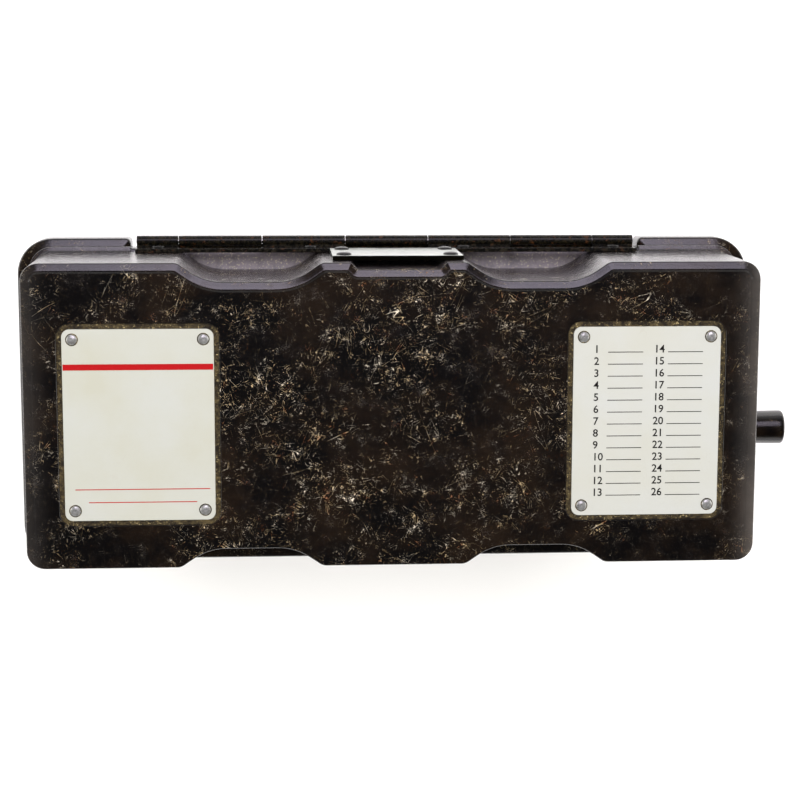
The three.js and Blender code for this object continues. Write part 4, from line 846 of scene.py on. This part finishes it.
def case_corners(width, depth, corner, hinge_cut, latch_cut, front=0.0):
    """An outline of the case, longer by front at the latch, with cuts this deep for hinge and latch."""
    x, y = width / 2, depth / 2
    hinge, latch = max(hinge_cut, 0.02), max(latch_cut, 0.02)
    soft_hinge, soft_latch = (2.0 if hinge_cut > 1 else 0.001), (1.2 if latch_cut > 1 else 0.001)
    fore = -y - front
    return [(-x, fore, corner, 10), (-LATCH_HALF, fore, soft_latch, 4),
            (-LATCH_HALF + 0.01, fore + latch, 0.001, 2), (LATCH_HALF - 0.01, fore + latch, 0.001, 2),
            (LATCH_HALF, fore, soft_latch, 4), (x, fore, corner, 10), (x, y, corner, 10),
            (HINGE_HALF, y, soft_hinge, 5), (HINGE_HALF - 0.01, y - hinge, 0.001, 2),
            (0.01 - HINGE_HALF, y - hinge, 0.001, 2), (-HINGE_HALF, y, soft_hinge, 5), (-x, y, corner, 10)]


class TELEPHONE_OT_case(bpy.types.Operator):
    """Mould the case: a tub with draft, and a thick rim cut away for the hinge and the latch"""

    bl_idname = "telephone.case"
    bl_label = "Case moulding"
    bl_options = {"REGISTER", "UNDO"}

    def execute(self, context):
        sizes = context.scene.telephone_moulding
        fall = sizes.rim_slope / MM

        def rim(inset, z, hinge_cut, sill_z):
            corners = case_corners(RIM_WIDTH, RIM_DEPTH, sizes.rim_corner / MM, hinge_cut,
                                   LATCH_DEEP + RIM_FRONT, RIM_FRONT)
            floor = RIM_DEPTH / 2 - hinge_cut - inset + 0.3
            points = []
            for x, y, level in outline_at(corners, z, inset):
                behind = 0 < y < floor and abs(x) < HINGE_HALF + inset + 0.5
                points.append((x, y, sill_z if behind else level))
            return points

        def tub(inset, z):
            corners = case_corners(TUB_WIDTH, TUB_DEPTH, 12.0, 0, 0)
            return draft(outline_at(corners, z, inset), TUB_WIDTH, TUB_DEPTH, -TUB_SLOPE, RIM_FOOT)

        inside = ((7, 4), (5, 4.8), (4, 7), (4, SEAM_Z - 0.4), (3.6, SEAM_Z))
        # Inset and height, then the depth of the hinge cut and the height of its sill, which slopes outwards
        over = ((5.4, SEAM_Z, 8.2, SEAM_Z), (4.2, SEAM_Z, 8.9, SEAM_Z - 0.1),
                (0.75, SEAM_Z - fall * 0.9, 4, SEAM_Z - SILL_FALL),
                (0.35, SEAM_Z - fall * 1.15, 4, SEAM_Z - 2.4),
                (0.1, SEAM_Z - fall - 0.6, 4, SEAM_Z - 3.0), (0, SEAM_Z - fall - 1.2, 4, SEAM_Z - 3.8))
        over += tuple((inset, z, 4, z) for inset, z in (
            (0, RIM_FOOT + 1.5), (0.45, RIM_FOOT + 0.45), (1.5, RIM_FOOT)))
        outside = ((-2, RIM_FOOT), (-0.6, RIM_FOOT - 0.6), (0, RIM_FOOT - 2), (0, 3.5), (0.45, 1.6),
                   (1.6, 0.45), (3.5, 0))
        bm = bmesh.new()
        loft(bm, [tub(*row) for row in inside] + [rim(*row) for row in over] + [tub(*row) for row in outside])
        finish_piece("case_moulding", bm, "case", "case", "case_body")
        return {"FINISHED"}


def plate_corners(side, grow=0.0, segments=6):
    """Outline of a writing plate, or of the frame round it."""
    return rectangle(PLATE_WIDTH + 2 * grow, PLATE_DEPTH + 2 * grow, PLATE_CORNER + grow, segments,
                     (side * PLATE_X, PLATE_Y))


def ink_bar(bm, x, y, width, height):
    """A thin printed bar on a plate, centred on x and y."""
    made = bmesh.ops.create_cube(bm, size=1.0)["verts"]
    bmesh.ops.scale(bm, vec=(width, height, INK), verts=made)
    bmesh.ops.translate(bm, vec=(x, y, PLATE_TOP + INK_LEVEL), verts=made)


def print_text(bm, text, height, x, y, bold, level):
    """Add a line of print, laid flat at a level with its left foot at x and y."""
    curve = bpy.data.curves.new("print", "FONT")
    curve.body = text
    curve.size = height
    curve.extrude = INK / 2
    curve.offset = bold
    curve.resolution_u = 3
    holder = bpy.data.objects.new("print", curve)
    bpy.context.scene.collection.objects.link(holder)
    bpy.context.view_layer.update()
    mesh = bpy.data.meshes.new_from_object(holder)
    mesh.transform(Matrix.Translation((x, y, level + INK_LEVEL)))
    bpy.data.objects.remove(holder)
    bpy.data.curves.remove(curve)
    bm.from_mesh(mesh)
    bpy.data.meshes.remove(mesh)


class TELEPHONE_OT_plates(bpy.types.Operator):
    """Press the two writing plates and print a stripe and rules on one, numbers and rules on the other"""

    bl_idname = "telephone.plates"
    bl_label = "Writing plates"
    bl_options = {"REGISTER", "UNDO"}

    def execute(self, context):
        sizes = context.scene.telephone_plates
        for name, side, node, key in (("stripe_plate", -1, "writing_plate", "plate"),
                                      ("number_plate", 1, "spelling_plate", "card_plate")):
            plate = slab(plate_corners(side, 0.0, 8), PLATE_LOW, PLATE_TOP, sizes.edge / MM, 3)
            finish_piece(name, plate, "lid", key, node)
            # Dirt fills the frame round the plate, short of the frame's wall
            frame_floor = rectangle(PLATE_WIDTH + 3.9, PLATE_DEPTH + 3.9, PLATE_CORNER + 1.9, 8,
                                    (side * PLATE_X, PLATE_Y))
            packed = slab(frame_floor, PLATE_SEAT - 0.05, PLATE_SEAT + 0.12)
            finish_piece(name + "_dirt", packed, "lid", "dirt")
        top = PLATE_Y + PLATE_DEPTH / 2
        bm = bmesh.new()
        ink_bar(bm, -PLATE_X, top - sizes.stripe_down / MM, PLATE_WIDTH - 0.6, sizes.stripe / MM)
        for down, width in RED_RULES:
            ink_bar(bm, -PLATE_X + 1, top - down, width, 0.35)
        finish_piece("stripe_print", bm, "lid", "print_red", weighted=False)
        self.numbers(sizes, top)
        return {"FINISHED"}

    def numbers(self, sizes, top):
        """Two columns of plain numbers, each with a rule to write on."""
        figures, rules = bmesh.new(), bmesh.new()
        font_size = sizes.number_height / MM / FIGURE_SHARE
        for number in range(2 * ROWS):
            column, row = divmod(number, ROWS)
            x = PLATE_X - 20.6 + column * COLUMN_PITCH
            y = top - 10.0 - row * sizes.row_pitch / MM
            print_text(figures, str(number + 1), font_size, x, y, 0.06, PLATE_TOP)
            ink_bar(rules, x + 12.2, y + 0.2, 13.6, 0.3)
        bmesh.ops.remove_doubles(figures, verts=figures.verts, dist=1e-4)
        finish_piece("number_print", figures, "lid", "print_black", weighted=False)
        finish_piece("rule_print", rules, "lid", "print_black", weighted=False)


def dome(radius, height, shank, depth, dimple=0.0, rings=5):
    """Profile of a snap rivet: a low dome on a short shank, with a dimple left by the set."""
    points = [(0, -depth), (shank, -depth), (shank, 0), (radius, 0), (radius, height * 0.25)]
    for k in range(1, rings):
        a = math.radians(90) * k / rings
        points.append((radius * math.cos(a), height * (0.25 + 0.75 * math.sin(a))))
    if dimple:
        return points + [(dimple, height), (dimple * 0.75, height - dimple * 0.5), (0, height - dimple * 0.7)]
    return points + [(0, height)]


# Profiles of the plates' rivets, and of a dark ring round the foot of each: a painted shadow line in the
# packed-dirt finish
PLATE_RIVET = dome(2.0, 0.95, 1.0, 1.4, 0.62, 8)
FOOT_SHADOW_RING = [(1.9, 0.0), (2.4, 0.0), (2.35, 0.06), (1.9, 0.1)]


def slot_screw(bm, place, axis, radius, height, turn):
    """Add a cheese-head screw with rounded edges and a driver slot, facing along an axis."""
    part = turned([(0, -1.0), (radius * 0.5, -1.0), (radius * 0.5, 0), (radius, 0), (radius, height * 0.6),
                   (radius * 0.9, height * 0.92), (radius * 0.7, height), (0, height)], 28)
    gap = radius * 0.16
    for side in (-1, 1):
        geom = list(part.verts) + list(part.edges) + list(part.faces)
        bmesh.ops.bisect_plane(part, geom=geom, dist=1e-5, plane_co=(0, side * gap, 0), plane_no=(0, 1, 0))
    top = [f for f in part.faces if f.calc_center_median().z > height * 0.55
           and abs(f.calc_center_median().y) < gap and f.normal.z > 0.3]
    sunk = bmesh.ops.extrude_face_region(part, geom=top)["geom"]
    floor = [g for g in sunk if isinstance(g, bmesh.types.BMVert)]
    bmesh.ops.translate(part, vec=(0, 0, -height * 0.5), verts=floor)
    bmesh.ops.delete(part, geom=[f for f in top if f.is_valid], context="FACES")
    spun = Matrix.Rotation(math.radians(turn), 4, "Z")
    bmesh.ops.transform(part, matrix=Matrix.Translation(place) @ AXIS_TURN[axis] @ spun, verts=part.verts)
    merge(bm, part)


class TELEPHONE_OT_fasteners(bpy.types.Operator):
    """Set the rivets of the plates and the slot plate, and the screws of the hinge, latch and panel"""

    bl_idname = "telephone.fasteners"
    bl_label = "Rivets and screws"
    bl_options = {"REGISTER", "UNDO"}

    def execute(self, context):
        for side, letter in ((-1, "l"), (1, "r")):
            for i, (sx, sy) in enumerate(FOUR_CORNERS):
                name = f"plate_rivet_{letter}{i + 1}"
                place = (side * PLATE_X + sx * (PLATE_WIDTH / 2 - PLATE_RIVET_INSET),
                         PLATE_Y + sy * (PLATE_DEPTH / 2 - PLATE_RIVET_INSET), PLATE_TOP)
                turned_piece(name, "lid", "aluminium", PLATE_RIVET, 32, place, weighted=False)
                # A painted shadow line round the rivet's foot
                turned_piece(name + "_foot_shadow", "lid", "dirt", FOOT_SHADOW_RING, 32, place, weighted=False)
        for i, (side, z) in enumerate([(side, z) for z in SLOT_RIVETS_Z for side in (-1, 1)]):
            y = LID_DEPTH / 2 + 2.0 + (FACE_TOP - z) * LID_SLOPE
            turned_piece(f"slot_plate_rivet_{i + 1}", "lid", "dark_steel", dome(2.85, 1.1, 1.2, 2.6), 32,
                         (SLOT_X + side * SLOT_RIVET_X, y, z), "y", weighted=False)
        lid_screws, leaf_screws, case_screws = bmesh.new(), bmesh.new(), bmesh.new()
        leaf_face = node_box("hinge_lid_leaf")[0].y + LEAF_FACE
        case_face = node_box("hinge_case_leaf")[0].y + LEAF_FACE
        guide_face = node_box("latch_guide")[0].y
        # No two slots point the same way
        for i, x in enumerate(LEAF_SCREWS_X):
            slot_screw(lid_screws, (x, leaf_face, SEAM_Z + LEAF_SCREW_UP), "y", 2.5, 0.9, 23 + 47 * i)
            slot_screw(leaf_screws, (x, case_face, SEAM_Z - LEAF_SCREW_UP), "y", 2.5, 0.9, 71 + 38 * i)
        for i, x in enumerate(GUIDE_SCREWS_X):
            slot_screw(case_screws, (x, guide_face, SEAM_Z - GUIDE_SCREW_DOWN), "-y", 2.2, 0.25, 15 + 60 * i)
        for i, (sx, sy) in enumerate(FOUR_CORNERS):
            place = (sx * PANEL_SCREW_X, sy * PANEL_SCREW_Y, PANEL_SCREW_Z)
            slot_screw(case_screws, place, "z", 3.4, 1.8, 31 + 52 * i)
        finish_piece("lid_leaf_screws", lid_screws, "lid", "dark_steel", weighted=False)
        finish_piece("case_leaf_screws", leaf_screws, "case", "dark_steel", weighted=False)
        finish_piece("case_screws", case_screws, "case", "bright_steel", weighted=False)
        return {"FINISHED"}


class TELEPHONE_OT_hinge(bpy.types.Operator):
    """Round the edges of the hinge, the slot plate and the latch"""

    bl_idname = "telephone.hinge"
    bl_label = "Hinge, slot plate and latch"
    bl_options = {"REGISTER", "UNDO"}

    def execute(self, context):
        softened("hinge_lid_leaf", "hinge", 0.25)
        softened("hinge_case_leaf", "hinge", 0.25)
        softened("slot_plate", "zinc", 0.45, 3)
        for node, width in (("latch_keeper", 0.3), ("latch_guide", 0.3), ("latch_slide", 0.35)):
            softened(node, "bright_steel", width)
        return {"FINISHED"}


class TELEPHONE_OT_crank(bpy.types.Operator):
    """Turn the crank's grip, and round the edges of its arm, nut, pin, shaft and bush"""

    bl_idname = "telephone.crank"
    bl_label = "Crank"
    bl_options = {"REGISTER", "UNDO"}

    def execute(self, context):
        softened("crank_arm", "dark_steel", 0.8, 3)
        for node, key, width in (("crank_nut", "bright_steel", 0.35), ("crank_shaft", "bright_steel", 0.3),
                                 ("grip_pin", "bright_steel", 0.3), ("crank_bush", "brass", 0.3)):
            softened(node, key, width)
        low, high = node_box("crank_grip")
        radius = (high.z - low.z) / 2
        end = high.x - low.x + 1.6
        bore, neck, foot, head = 2.75, 5.6, radius + 0.25, radius + 0.75
        # From the end of the bore out to the neck, along the barrel that swells, and over the flat end
        profile = [(0, end - 4.2), (bore, end - 4.3), (bore, 0), (neck - 0.3, 0), (neck, 0.3), (neck, 2.2),
                   (neck + 0.35, 3.0), (foot - 0.4, 3.9), (foot, 4.8), (foot + 0.1, 10), (head, end - 3),
                   (head, end - 1.3), (head - 0.15, end - 0.8), (head - 0.5, end - 0.4),
                   (head - 1.1, end - 0.22), (head - 3, end - 0.1), (0, end)]
        turned_piece("crank_grip_turned", "grip", "bakelite", profile, 56,
                     (low.x, (low.y + high.y) / 2, (low.z + high.z) / 2), "x", "crank_grip")
        return {"FINISHED"}


class TELEPHONE_OT_panel_plate(bpy.types.Operator):
    """Finish the panel under the lid, its cradle rings, cord glands, battery door and hinge"""

    bl_idname = "telephone.panel_plate"
    bl_label = "Panel, cradle and battery door"
    bl_options = {"REGISTER", "UNDO"}

    def execute(self, context):
        for node, key, width, segments in (
                ("inner_panel", "bakelite", 0.4, 2), ("terminal_base", "bakelite", 0.4, 2),
                ("cradle_ring_ear", "rubber", 0.7, 3), ("cradle_ring_mouth", "rubber", 0.7, 3),
                ("battery_door", "bakelite", 0.6, 3), ("door_hinge", "bright_steel", 0.2, 2),
                ("battery_box", "bakelite", 0.4, 2)):
            softened(node, key, width, segments)
        self.door_ribs()
        self.cells()
        softened("panel_gland", "rubber", 0.35)
        softened("handset_gland", "rubber", 0.35)
        self.legends()
        return {"FINISHED"}

    def door_ribs(self):
        """Five finger ribs on the battery door."""
        low, high = node_box("battery_door")
        bm = bmesh.new()
        for i in range(5):
            middle = ((low.x + high.x) / 2, low.y + 4.0 + 2.4 * i)
            merge(bm, slab(rectangle(26, 1.1, 0.5, 4, middle), high.z - 0.2, high.z + 0.6, 0.25, 2))
        finish_piece("battery_door_ribs", bm, "battery_door", "bakelite")

    def cells(self):
        """Two dry cells: a card jacket crimped over a pitch seal, and the brass cap of the carbon rod."""
        for node in ("battery_cell_1", "battery_cell_2"):
            centre, radius, foot, top = upright(node)
            seal, crimp = top - 5, top - 4
            turned_piece(node + "_jacket", "case", "jacket", [
                (0, foot), (radius - 0.8, foot), (radius, foot + 0.8), (radius, crimp - 0.8),
                (radius - 0.3, crimp - 0.2), (radius - 0.9, crimp), (radius - 1.5, crimp - 0.3),
                (radius - 1.6, seal), (radius - 1.6, seal - 1), (0, seal - 1)], 64, centre, stands_for=node)
            turned_piece(node + "_seal", "case", "pitch", [
                (0, seal - 0.9), (radius - 1.7, seal - 0.9), (radius - 1.7, seal + 0.2),
                (radius - 3, seal - 0.2), (5, seal + 0.3), (0, seal + 0.3)], 64, centre)
            turned_piece(node + "_cap", "case", "brass", [
                (0, seal), (4.4, seal), (4.4, top - 1), (4.1, top - 0.3), (3.4, top), (1.2, top),
                (0.8, top - 0.25), (0, top - 0.3)], 40, centre)

    def legends(self):
        """White numbers on the panel: the switch's places and the two lines."""
        knob, radius = upright("selector_knob")[:2]
        reach = radius + 4
        marks = [(str(i + 1), knob.x + reach * math.sin(a), knob.y + reach * math.cos(a))
                 for i, a in enumerate((math.radians(-45), 0.0, math.radians(45)))]
        for i, node in enumerate(("line_terminal_1", "line_terminal_2")):
            place = upright(node)[0]
            marks.append((str(i + 1), place.x, place.y + 12.5))
        bm = bmesh.new()
        for text, x, y in marks:
            print_text(bm, text, 4.2, x - 1.1, y - 1.5, 0.05, PANEL_TOP)
        finish_piece("panel_numbers", bm, "case", "print_white", weighted=False)


class TELEPHONE_OT_controls(bpy.types.Operator):
    """Turn the knob, button, terminals, plunger and the call indicator's bezel and window"""

    bl_idname = "telephone.controls"
    bl_label = "Controls"
    bl_options = {"REGISTER", "UNDO"}

    def execute(self, context):
        self.selector()
        self.indicator()
        centre, radius, foot, top = upright("test_button")
        turned_piece("test_button_cap", "test_button", "lacquer", [
            (0, foot), (2.9, foot), (2.9, top - 4.6), (radius - 0.3, top - 4.5), (radius, top - 4.2),
            (radius, top - 1.2), (radius - 0.35, top - 0.5), (radius - 1.1, top - 0.1),
            (radius - 2.2, top - 0.05), (radius - 4, top - 0.5), (0, top - 0.7)], 40, centre,
            stands_for="test_button")
        for node in ("line_terminal_1", "line_terminal_2", "earth_terminal"):
            centre, radius, foot, top = upright(node)
            bm = bmesh.new()
            fluted(bm, ((2.9, foot, 0), (2.9, top - 6.1, 0), (radius - 1.2, top - 6.0, 0),
                        (radius - 0.2, top - 5.6, 1), (radius, top - 5.2, 1), (radius, top - 2.0, 1),
                        (radius - 0.4, top - 1.4, 0.4), (radius - 0.8, top - 1.2, 0),
                        (radius - 1.0, top - 0.5, 0), (radius - 1.8, top - 0.05, 0),
                        (radius - 3.5, top, 0)), 26, 0.35, centre, 6)
            finish_piece(node + "_cap", bm, node, "brass", node)
        centre, radius, foot, top = upright("hook_plunger")
        turned_piece("hook_plunger_pin", "hook_plunger", "brass", [
            (0, foot), (radius - 0.4, foot), (radius, foot + 0.4), (radius, top - 1.6),
            (radius - 0.5, top - 0.7), (radius - 1.5, top - 0.15), (0, top)], 32, centre,
            stands_for="hook_plunger")
        softened("talk_key", "bakelite", 1.2, 4)
        return {"FINISHED"}

    def selector(self):
        """A round skirt with a finger bar across it, and a white pointer on the bar."""
        centre, radius, foot, top = upright("selector_knob")
        skirt = PANEL_TOP + 4
        bm = bmesh.new()
        fluted(bm, ((2.9, foot, 0), (2.9, PANEL_TOP + 0.1, 0), (radius - 0.3, PANEL_TOP + 0.1, 0),
                    (radius, PANEL_TOP + 0.4, 0), (radius, skirt - 1.4, 0), (radius - 0.5, skirt - 0.5, 0),
                    (radius - 1.4, skirt, 0), (4, skirt, 0)), 12, 0.0, centre)
        finish_piece("selector_skirt", bm, "selector", "bakelite", "selector_knob")
        corners = rectangle(2 * radius - 3.5, 7.2, 3.2, 8, (centre.x, centre.y))
        bm = bmesh.new()
        loft(bm, [outline_at(corners, z, inset) for inset, z in (
            (-1.2, skirt - 0.3), (-0.5, skirt + 0.3), (0, skirt + 1.4), (0.4, top - 1.6), (0.7, top - 0.6),
            (1.3, top - 0.1), (2.0, top))])
        finish_piece("selector_bar", bm, "selector", "bakelite")
        line = rectangle(6.5, 1.1, 0.4, 4, (centre.x + radius - 6.2, centre.y))
        pointer = slab(line, top - 0.05, top + 0.05)
        finish_piece("selector_pointer", pointer, "selector", "print_white")

    def indicator(self):
        """A brass bezel over a pressed window, with the flap behind it."""
        centre, radius, foot, top = upright("indicator_bezel")
        window, glass_foot, glass_top = upright("indicator_glass")[1:]
        turned_piece("indicator_rim", "case", "brass", [
            (window - 1.0, foot), (radius - 0.1, foot), (radius, foot + 0.4), (radius - 0.4, top - 0.9),
            (radius - 1.1, top - 0.15), (radius - 1.6, top), (window + 0.35, top - 0.05),
            (window + 0.1, top - 0.4), (window + 0.1, glass_foot - 0.04), (window - 1.0, glass_foot - 0.04)],
            56, centre, stands_for="indicator_bezel")
        turned_piece("indicator_window", "case", "glass", [
            (0, glass_foot), (window, glass_foot), (window, glass_top - 0.35),
            (window * 0.8, glass_top - 0.15), (window * 0.4, glass_top - 0.02), (0, glass_top)], 48, centre,
            stands_for="indicator_glass")
        softened("indicator_flap", "card_plate", 0.15)


class TELEPHONE_OT_handset(bpy.types.Operator):
    """Mould the handset: rounded bar, screwed caps with speaking holes"""

    bl_idname = "telephone.handset"
    bl_label = "Handset"
    bl_options = {"REGISTER", "UNDO"}

    def execute(self, context):
        self.grip()
        # How far each circle of speaking holes lies from the middle, and its number of holes
        self.cap("ear_cap", ((0, 1), (6, 6)))
        self.cap("mouth_cap", ((0, 1), (5, 6), (10, 12)))
        return {"FINISHED"}

    def grip(self):
        """A bowed bar with rounded edges, and the two hollow heads it grows out of."""
        low, high = node_box("handset_body")
        middle = (low.y + high.y) / 2
        ceiling, head = low.z + 13, low.z + 16
        key_low, key_high = node_box("talk_key")
        # The slot that the talk key moves in
        half_slot, slot_top = key_high.x + 0.3, key_high.z + 2.8
        slot_side = (key_high.y - key_low.y) / 2 + 0.3

        def section(x, shrink):
            """One cross-section of the bar; shrink runs from 0 to nearly 1 over its rounded end."""
            keep = math.sqrt(1 - shrink * shrink)
            crown = high.z + 0.1 - 2 * (min(abs(x), BAR_END) / 42) ** 2.54
            under = max(high.z - 17.9 - 13.7 * (abs(x) / 71.5) ** 2.09, head - 2.2)
            top = under + (crown - under) * keep
            half = 12 * keep
            upper, lower = min(6.5, 0.45 * (top - under), 0.9 * half), min(3, 0.3 * (top - under), 0.5 * half)
            room = slot_top - under if abs(x) <= half_slot else 0.02
            notch = min(slot_side, 0.4 * half)
            points = [(notch, under + room), (notch, under)]
            for y, z, bend, start in (
                    (half - lower, under + lower, lower, -90), (half - upper, top - upper, upper, 0),
                    (upper - half, top - upper, upper, 90), (lower - half, under + lower, lower, 180)):
                for k in range(8):
                    a = math.radians(start + 90 * k / 7)
                    points.append((y + bend * math.cos(a), z + bend * math.sin(a)))
            points += [(-notch, under), (-notch, under + room)]
            return [(x, middle + y, z) for y, z in points]

        stations = [(x, 0) for x in (0, 5, 10, 15, 20, 25, half_slot, half_slot + 0.01, 36, 42, 48, 53, 58,
                                     62, 66, 70, 74, 78, 82, BAR_END)]
        stations += [(BAR_END + BAR_ROUND * s, s) for s in (0.2, 0.38, 0.54, 0.68, 0.8, 0.88, 0.94, 0.98)]
        stations = [(-x, s) for x, s in reversed(stations[1:])] + stations
        bm = bmesh.new()
        loft(bm, [section(*station) for station in stations])
        finish_piece("handset_grip", bm, "handset", "bakelite", "handset_body")
        side = upright("ear_cap")[1] - 1
        profile = [(0, ceiling), (side - 3, ceiling - 0.2), (side - 3, low.z), (side - 0.4, low.z),
                   (side, low.z + 0.4), (side, head - 4.2), (side - 0.4, head - 2.6),
                   (side - 1.6, head - 1.1), (side - 3.4, head - 0.3), (side - 6, head + 0.1),
                   (side - 13, head + 0.9), (0, head + 1.4)]
        for name, node in (("handset_ear_head", "ear_cap"), ("handset_mouth_head", "mouth_cap")):
            turned_piece(name, "handset", "bakelite", profile, 96, upright(node)[0])

    def cap(self, node, circles):
        """A cap that screws on from below, dished round its holes and grooved for the fingers."""
        centre, radius, foot, top = upright(node)
        inner, face, ceiling = radius - 5.2, foot + 1.4, foot + 3.05
        bm = bmesh.new()
        ring = fluted(bm, (
            (inner - 2, ceiling, 0), (inner, ceiling + 0.1, 0), (inner, top - 0.1, 0),
            (radius - 0.9, top - 0.05, 0), (radius - 0.5, top - 0.5, 0), (radius - 0.5, top - 1.6, 0),
            (radius - 0.1, top - 2.0, 1), (radius, top - 2.4, 1), (radius, foot + 4.4, 1),
            (radius - 0.3, foot + 3.2, 0.6),
            (radius - 1.1, foot + 1.4, 0.2), (radius - 2.4, foot + 0.35, 0), (radius - 4.2, foot, 0),
            (radius - 7, foot + 0.1, 0), (radius - 10, foot + 0.8, 0), (radius - 13.4, face, 0)),
            32, 0.6, centre, 6, closed=False)
        holes = []
        for spread, count in circles:
            for k in range(count):
                a = math.tau * k / count
                x, y = centre.x + spread * math.cos(a), centre.y + spread * math.sin(a)
                turns = [math.tau * i / HOLE_SIDES for i in range(HOLE_SIDES)]
                mouth = [(x + HOLE_RADIUS * math.cos(t), y + HOLE_RADIUS * math.sin(t), face) for t in turns]
                holes.append((start_ring(bm, mouth), [(cx, cy, face + HOLE_DEPTH) for cx, cy, cz in mouth]))
        fill_rings(bm, ring, *[mouth for mouth, floor in holes])
        for mouth, floor in holes:
            fill_rings(bm, grow_ring(bm, mouth, floor))
        finish_piece(node + "_moulding", bm, "handset", "bakelite", node)


# Camera: place in metres, and its turns in degrees, fitted to the lid's face and rim in the photograph
CAMERA_PLACE = (-0.046, 0.114, 0.9193)
CAMERA_TURNS = ((-3.84, "Y"), (-8.57, "X"), (0.13, "Z"))
LENS, SENSOR = 85.5, 36

# Name, place, size, power, colour and whether its own reflection shows: all aim at the lid
AIM = Vector((0, 0, 0.15))
LIGHT_PANELS = (("overhead_panel", (0.0, 0.42, 2.15), (2.6, 2.2), 90, "#fffdfa", False),
                ("left_panel", (-2.2, 0.2, 0.55), (1.6, 0.7), 16, "#fffaf4", True),
                ("right_panel", (2.2, 0.1, 0.55), (1.6, 0.7), 16, "#fffaf4", True),
                ("back_panel", (0.08, 0.85, 1.5), (0.95, 0.95), 15, "#d9d0e3", True),
                ("front_panel", (0.0, -2.3, 0.6), (2.0, 0.7), 3, "#fffaf4", True))


class TELEPHONE_OT_stage(bpy.types.Operator):
    """Lay the pale floor, hang the soft lights and set the camera over the lid"""

    bl_idname = "telephone.stage"
    bl_label = "Floor, lights and camera"
    bl_options = {"REGISTER", "UNDO"}

    def execute(self, context):
        scene = context.scene
        camera = bpy.data.objects.new("camera", bpy.data.cameras.new("camera"))
        camera.data.sensor_width = SENSOR
        camera.data.lens = LENS
        camera.data.clip_end = 20
        turn = Matrix.Identity(4)
        for degrees, axis in CAMERA_TURNS:
            turn = turn @ Matrix.Rotation(math.radians(degrees), 4, axis)
        camera.matrix_world = Matrix.Translation(CAMERA_PLACE) @ turn
        scene.collection.objects.link(camera)
        scene.camera = camera
        self.floor(scene)
        scene.world = self.soft_world()
        scene.view_settings.view_transform = "Standard"
        for name, place, extent, power, colour, mirrored in LIGHT_PANELS:
            light = bpy.data.lights.new(name, "AREA")
            light.shape = "RECTANGLE"
            light.size, light.size_y = extent
            light.energy = power
            light.color = srgb(colour)[:3]
            lamp = bpy.data.objects.new(name, light)
            lamp.visible_glossy = mirrored
            towards = (AIM - Vector(place)).to_track_quat("-Z", "Y").to_matrix().to_4x4()
            lamp.matrix_world = Matrix.Translation(place) @ towards
            scene.collection.objects.link(lamp)
        return {"FINISHED"}

    def floor(self, scene):
        """A plain pale floor, painted matt."""
        bm = bmesh.new()
        bmesh.ops.create_grid(bm, x_segments=1, y_segments=1, size=1.9)
        mesh = bpy.data.meshes.new("floor")
        bm.to_mesh(mesh)
        bm.free()
        material, tree, place = new_material("Pale painted floor")
        dress(tree, coated(tree, "#fbfbfa", (clouds(tree, place, 300, 3.0), "#fefefd")), 0.9)
        mesh.materials.append(material)
        floor = bpy.data.objects.new("floor", mesh)
        scene.collection.objects.link(floor)

    def soft_world(self):
        """A studio that is pale round the horizon and dim overhead, so a flat dark face stays dark."""
        world = bpy.data.worlds.new("Soft studio")
        world.use_nodes = True
        tree = world.node_tree
        sky = tree.nodes["Background"]
        direction = add(tree, "SeparateXYZ", (add(tree, "TexCoord", out="Generated"),)).node
        forth, up = direction.outputs["Y"], direction.outputs["Z"]
        # The latch side is the shadow side
        shade = combine(tree, "MULTIPLY", add(tree, "MapRange", (forth, -0.2, -0.8, 0.0, 0.65)),
                        add(tree, "MapRange", (up, 0.12, 0.25)))
        lit = add(tree, "Math", (1.0, shade), operation="SUBTRACT")
        strength = combine(tree, "MULTIPLY", add(tree, "MapRange", (up, 0.12, 0.6, 0.75, 0.04)),
                           add(tree, "MapRange", (up, 0.0, 0.1, 1.5, 1.0)), lit)
        tree.links.new(strength, sky.inputs["Strength"])
        sky.inputs["Color"].default_value = srgb("#f3f3f7")
        return world


class TELEPHONE_PT_panel(bpy.types.Panel):
    """Lists the pieces in build order"""

    bl_idname = "TELEPHONE_PT_panel"
    bl_label = "Field Telephone"
    bl_space_type = "VIEW_3D"
    bl_region_type = "UI"
    bl_category = "Telephone"

    def draw(self, context):
        for group in (getattr(context.scene, key) for key in GROUPS):
            box = self.layout.box()
            for key in group.bl_rna.properties.keys():
                if key not in ("rna_type", "name"):
                    box.prop(group, key)
        for operator in OPERATORS:
            self.layout.operator(operator.bl_idname)


OPERATORS = (TELEPHONE_OT_finishes, TELEPHONE_OT_stage, TELEPHONE_OT_lid, TELEPHONE_OT_case,
             TELEPHONE_OT_plates, TELEPHONE_OT_fasteners, TELEPHONE_OT_hinge, TELEPHONE_OT_crank,
             TELEPHONE_OT_panel_plate, TELEPHONE_OT_controls, TELEPHONE_OT_handset)
GROUPS = {"telephone_moulding": MouldingSizes, "telephone_plates": PlateSizes, "telephone_finishes": Finishes}
CLASSES = (*GROUPS.values(), *OPERATORS, TELEPHONE_PT_panel)


def register():
    for each in CLASSES:
        bpy.utils.register_class(each)
    for key, group in GROUPS.items():
        setattr(bpy.types.Scene, key, bpy.props.PointerProperty(type=group))


def unregister():
    for key in GROUPS:
        delattr(bpy.types.Scene, key)
    for each in reversed(CLASSES):
        bpy.utils.unregister_class(each)


def main():
    register()
    for operator in OPERATORS:
        kind, name = operator.bl_idname.split(".")
        getattr(getattr(bpy.ops, kind), name)()


if __name__ == "__main__":
    main()
